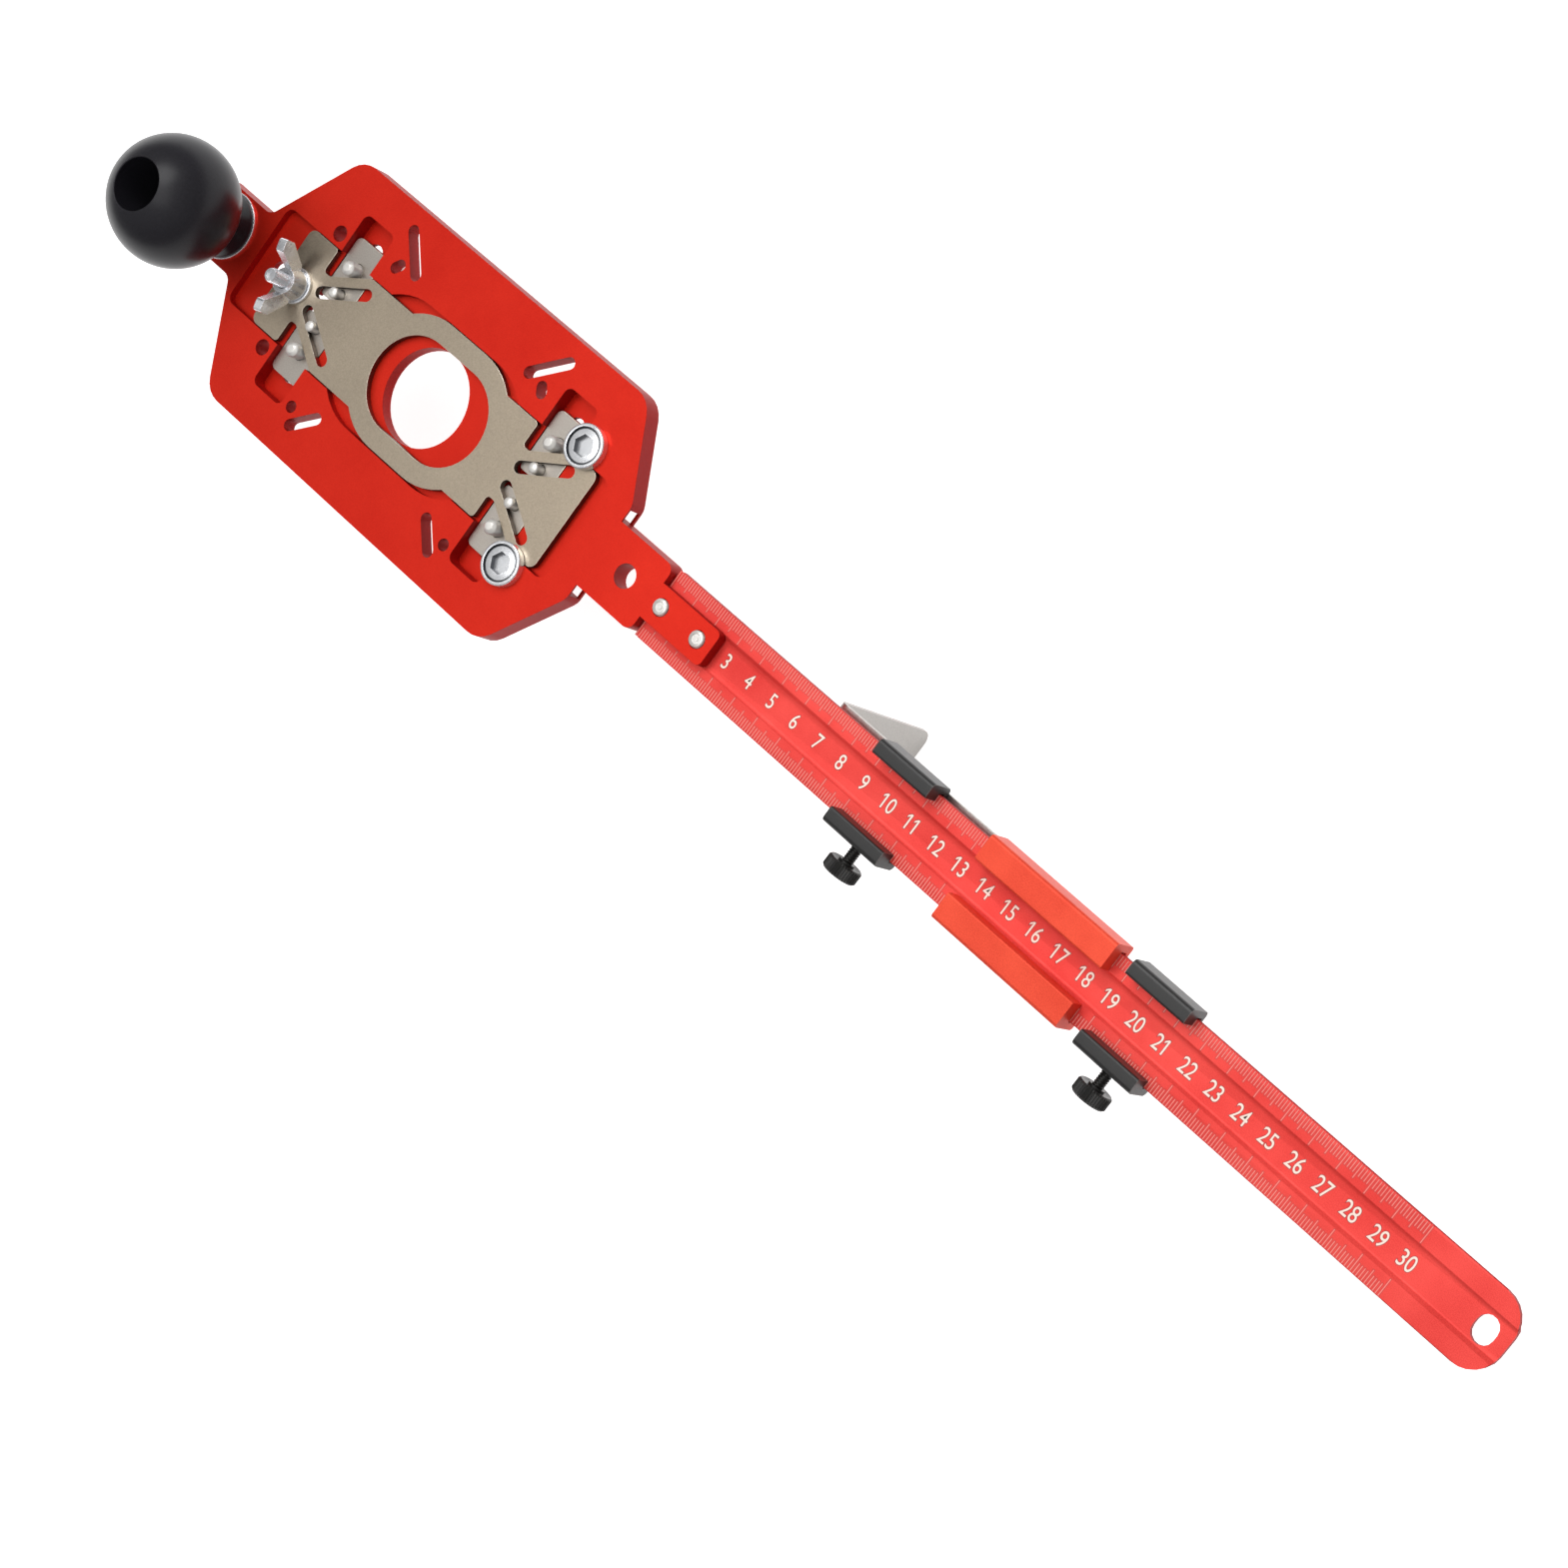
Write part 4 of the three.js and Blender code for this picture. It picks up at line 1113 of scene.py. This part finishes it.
def add_block(work, low, high):
    made = bmesh.ops.create_cube(work, size=1)
    size = Vector(high) - Vector(low)
    bmesh.ops.scale(work, verts=made["verts"], vec=size)
    middle = (Vector(high) + Vector(low)) / 2
    bmesh.ops.translate(work, verts=made["verts"], vec=middle)


def mark_inner(count):
    """Where a mark ends: every fifth one is longer, and every tenth one longer still."""
    return MARK_INNER[max(step for step in MARK_INNER if count % step == 0)]


def ruler_marks(name, finish, line, rise, spare):
    """Thin lines on both flanges of the ruler, one for every millimetre."""
    top = high_of("ruler").z
    work = bmesh.new()
    for count in range(MARK_COUNT + 1):
        middle = MARK_ZERO + count * MARK_PITCH
        inner = mark_inner(count) - spare
        for side in (-1, 1):
            near, far = sorted((side * inner, side * (MARK_OUTER + spare)))
            low = (middle - line / 2, near, top - rise)
            high = (middle + line / 2, far, top + rise)
            add_block(work, low, high)
    ride_ruler(finish_mesh(name, work, [finish]))


def ride_ruler(piece):
    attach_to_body(piece, body_of_node["ruler"])


def number_mesh(value, thickness, spread_out):
    curve = bpy.data.curves.new("number", "FONT")
    curve.body = str(value)
    curve.size = NUMBER_SIZE
    curve.align_x = "CENTER"
    curve.align_y = "CENTER"
    curve.extrude = thickness
    curve.offset = spread_out
    curve.resolution_u = NUMBER_CURVE_STEPS
    written = bpy.data.objects.new("number", curve)
    mesh = bpy.data.meshes.new_from_object(written)
    bpy.data.objects.remove(written)
    bpy.data.curves.remove(curve)
    return mesh


def islands(work):
    """The vertices of each connected piece, in the order in which the pieces were made."""
    found, seen = [], set()
    for start in work.verts:
        if start in seen:
            continue
        seen.add(start)
        island = [start]
        for vert in island:
            for edge in vert.link_edges:
                other = edge.other_vert(vert)
                if other not in seen:
                    seen.add(other)
                    island.append(other)
        found.append(island)
    return found


def add_flag(work, island, spread_out):
    """Gives a one, the only narrow digit, the slanted stroke at its top."""
    low = [min(vert.co[axis] for vert in island) for axis in range(3)]
    high = [max(vert.co[axis] for vert in island) for axis in range(3)]
    if high[0] - low[0] > STEM_WIDTH_SHARE * (high[1] - low[1]):
        return
    stroke = FLAG_STROKE + FLAG_SPREAD_SHARE * spread_out
    end = (-FLAG_REACH, -FLAG_REACH)
    outline = [(0, 0), end, (end[0], end[1] - stroke), (0, -stroke)]
    bottom = [work.verts.new((low[0] + x, high[1] + y, low[2])) for x, y in outline]
    top = [work.verts.new((low[0] + x, high[1] + y, high[2])) for x, y in outline]
    work.faces.new(bottom)
    work.faces.new(top)
    for here in range(-1, len(outline) - 1):
        work.faces.new((bottom[here], bottom[here + 1], top[here + 1], top[here]))


def ruler_numbers(name, finish, thickness, spread_out):
    """The centimetre numbers on the ruler's floor, read along the ruler."""
    work = bmesh.new()
    for value in range(NUMBER_FIRST, NUMBER_LAST + 1):
        mesh = number_mesh(value, thickness, spread_out)
        squeeze = Matrix.Diagonal((NUMBER_SQUEEZE, 1, 1, 1))
        place = Vector((MARK_ZERO + value * NUMBER_STEP, NUMBER_SIDE, RULER_FLOOR))
        mesh.transform(Matrix.Translation(place) @ squeeze)
        work.from_mesh(mesh)
        bpy.data.meshes.remove(mesh)
    bmesh.ops.remove_doubles(work, verts=work.verts, dist=WELD)
    for island in islands(work):
        add_flag(work, island, spread_out)
    bmesh.ops.recalc_face_normals(work, faces=work.faces)
    ride_ruler(finish_mesh(name, work, [finish]))


# All pieces


def add_plates():
    # The base plate's rounded edges carry painted shade, and its upright walls a darker painted
    # shade
    dressed("base_plate", PLATE_EDGE, ["plate", "plate_edge_shade"], "plate_wall_shade")
    # The slide plate's rounded edges carry a painted highlight, and its upright walls are dark cut
    # steel with painted shade
    dressed("slide_plate", SHEET_EDGE, ["slide", "slide_edge_highlight"], "cut_steel")


def add_ruler():
    spare = (MARK_SHADE_WIDTH - MARK_LINE) / 2
    ruler_form()
    # A band of painted shade under each pale mark
    ruler_marks("ruler_mark_shades", "groove", MARK_SHADE_WIDTH, MARK_SHADE_HEIGHT, spare)
    ruler_marks("ruler_lines", "mark", MARK_LINE, MARK_HEIGHT, 0)
    # A dark outline of painted shade under each number
    ruler_numbers("ruler_number_shades", "number_shade", NUMBER_LIFT / 2, NUMBER_OUTLINE)
    ruler_numbers("ruler_number_faces", "number", NUMBER_LIFT, NUMBER_BOLD)


def add_stop():
    # The block's rounded edges carry a painted highlight
    dressed("slider_block", BLOCK_EDGE, ["block", "block_edge_highlight"])
    dressed("stop_bracket", BRACKET_EDGE, ["bracket"])
    # The clamps' rounded edges carry a painted highlight
    for side in ("inner", "outer"):
        dressed("stop_clamp_" + side, BLOCK_EDGE, ["clamp", "clamp_edge_highlight"])
        thumb_screw("thumb_screw_" + side)


def add_jaw(place):
    pin = "jaw_pin_" + place
    bolt = "roller_bolt_" + place
    roller = "roller_" + place
    # The jaw's rounded edges carry a painted highlight, and its upright walls are dark cut steel
    # with painted shade
    dressed("jaw_" + place, SHEET_EDGE, ["jaw", "slide_edge_highlight"], "cut_steel")
    turned_piece(pin, ["steel"], pin_rows(pin))
    turned_piece(bolt, ["steel"], roller_bolt_rows(bolt))
    turned_piece(roller, ["nylon"], roller_rows(roller), FINE_STEPS, closed=True)


def add_screws():
    for side in ("front", "back"):
        retainer_screw("retainer_screw_" + side)
    for end in ("near", "far"):
        screw = "ruler_screw_" + end
        turned_piece(screw, ["steel"], ruler_screw_rows(screw))
        screw = "bracket_screw_" + end
        turned_piece(screw, ["dark"], bracket_screw_rows(screw))


def add_knob():
    top = high_of("base_plate").z
    ball = knob_rows()
    ring = washer_rows("knob_ferrule", KNOB_SCREW_HOLE)
    turned_piece("knob_ball", ["knob"], ball, FINE_STEPS, top, closed=True)
    turned_piece("knob_ferrule", ["zinc"], ring, FINE_STEPS, closed=True)
    turned_piece("knob_screw", ["dark"], knob_screw_rows())


def add_lock():
    washer = washer_rows("clamp_washer", BOLT_RADIUS + SCREW_CLEARANCE)
    turned_piece("clamp_bolt", ["zinc"], clamp_bolt_rows())
    turned_piece("clamp_washer", ["zinc"], washer, closed=True)
    wing_nut()


# Camera, floor and light


def add_camera():
    ahead = (CAMERA_AIM - CAMERA_PLACE).normalized()
    right = ahead.cross(Vector((0, 0, 1))).normalized()
    up = right.cross(ahead)
    rolled_up = up * math.cos(CAMERA_ROLL) + right * math.sin(CAMERA_ROLL)
    rolled_right = ahead.cross(rolled_up)
    facing = Matrix((rolled_right, rolled_up, -ahead)).transposed()
    data = bpy.data.cameras.new("camera")
    data.lens = CAMERA_LENS
    data.sensor_width = CAMERA_SENSOR
    camera = bpy.data.objects.new("camera", data)
    camera.matrix_world = Matrix.Translation(CAMERA_PLACE) @ facing.to_4x4()
    bpy.context.scene.collection.objects.link(camera)
    bpy.context.scene.camera = camera


def seen_by(tree, *rays):
    """One for the kinds of ray that look at a background, and nought for the others."""
    path = add_node(tree, "ShaderNodeLightPath")
    seen = add_node(tree, "ShaderNodeMath", operation="MAXIMUM")
    for ray, socket in zip(rays, seen.inputs):
        tree.links.new(path.outputs[ray], socket)
    return seen.outputs[0]


def floor_material():
    """Pale matte floor that shows white and keeps the soft shadow of the object."""
    material, tree, shader = new_material(
        "floor", Roughness=FLOOR_ROUGHNESS, Emission_Color=(1, 1, 1, 1)
    )
    cloudy = noise(tree, stretched_coordinates(tree), FLOOR_CLOUDS)
    two_tones(tree, shader, cloudy, [FLOOR_DARK] * 3, [FLOOR_LIGHT] * 3)
    glow = add_node(tree, "ShaderNodeMath", operation="MULTIPLY")
    glow.inputs[1].default_value = FLOOR_GLOW
    tree.links.new(seen_by(tree, "Is Camera Ray", "Is Glossy Ray"), glow.inputs[0])
    tree.links.new(glow.outputs[0], shader.inputs["Emission Strength"])
    show_from_above(tree, shader)
    return material


def show_from_above(tree, shader):
    """The floor's underside is clear, so that the object can be seen from below."""
    side = add_node(tree, "ShaderNodeNewGeometry")
    clear = add_node(tree, "ShaderNodeBsdfTransparent")
    mixed = add_node(tree, "ShaderNodeMixShader")
    out = tree.nodes["Material Output"]
    tree.links.new(side.outputs["Backfacing"], mixed.inputs["Fac"])
    tree.links.new(shader.outputs["BSDF"], mixed.inputs[1])
    tree.links.new(clear.outputs["BSDF"], mixed.inputs[2])
    tree.links.new(mixed.outputs["Shader"], out.inputs["Surface"])


def add_floor():
    low = cad_box[0][2] - FLOOR_DROP
    work = bmesh.new()
    half = FLOOR_SIZE / 2
    bmesh.ops.create_grid(work, x_segments=FLOOR_CELLS, y_segments=FLOOR_CELLS, size=half)
    bmesh.ops.translate(work, verts=work.verts, vec=(CAMERA_AIM.x, CAMERA_AIM.y, low))
    mesh = bpy.data.meshes.new("floor")
    work.to_mesh(mesh)
    work.free()
    mesh.materials.append(floor_material())
    floor = bpy.data.objects.new("floor", mesh)
    bpy.context.scene.collection.objects.link(floor)


def add_area(name, place, size, power):
    """A square lamp that faces the middle of the object."""
    data = bpy.data.lights.new(name, "AREA")
    data.shape = "SQUARE"
    data.size = size
    data.energy = power
    lamp = bpy.data.objects.new(name, data)
    ahead = Vector(LIGHT_AIM) - Vector(place)
    lamp.rotation_mode = "QUATERNION"
    lamp.rotation_quaternion = ahead.to_track_quat("-Z", "Y")
    lamp.location = place
    bpy.context.scene.collection.objects.link(lamp)


def add_world():
    """A soft sky that grows brighter upwards, and is white where it is looked at."""
    world = bpy.data.worlds.new("studio")
    bpy.context.scene.world = world
    world.use_nodes = True
    tree = world.node_tree
    tree.nodes.clear()
    direction = add_node(tree, "ShaderNodeTexCoord")
    split = add_node(tree, "ShaderNodeSeparateXYZ")
    tree.links.new(direction.outputs["Generated"], split.inputs["Vector"])
    soft = spread(tree, split.outputs["Z"], WORLD_LOW, WORLD_HIGH)
    strength = add_node(tree, "ShaderNodeMix", data_type="FLOAT")
    seen = seen_by(tree, "Is Camera Ray", "Is Transmission Ray")
    tree.links.new(seen, strength.inputs["Factor"])
    tree.links.new(soft, strength.inputs["A"])
    strength.inputs["B"].default_value = WORLD_SEEN
    light = add_node(tree, "ShaderNodeBackground")
    tree.links.new(strength.outputs["Result"], light.inputs["Strength"])
    out = add_node(tree, "ShaderNodeOutputWorld")
    tree.links.new(light.outputs["Background"], out.inputs["Surface"])


add_plates()
add_ruler()
add_stop()
for end in ("left", "right"):
    for side in ("back", "front"):
        add_jaw(end + "_" + side)
add_screws()
add_knob()
add_lock()

add_camera()
add_floor()
add_area("back_panel", BACK_PLACE, BACK_SIZE, BACK_POWER)
add_area("overhead", OVERHEAD_PLACE, OVERHEAD_SIZE, OVERHEAD_POWER)
add_area("left_panel", LEFT_PLACE, LEFT_SIZE, LEFT_POWER)
add_world()
bpy.context.scene.view_settings.view_transform = "Standard"
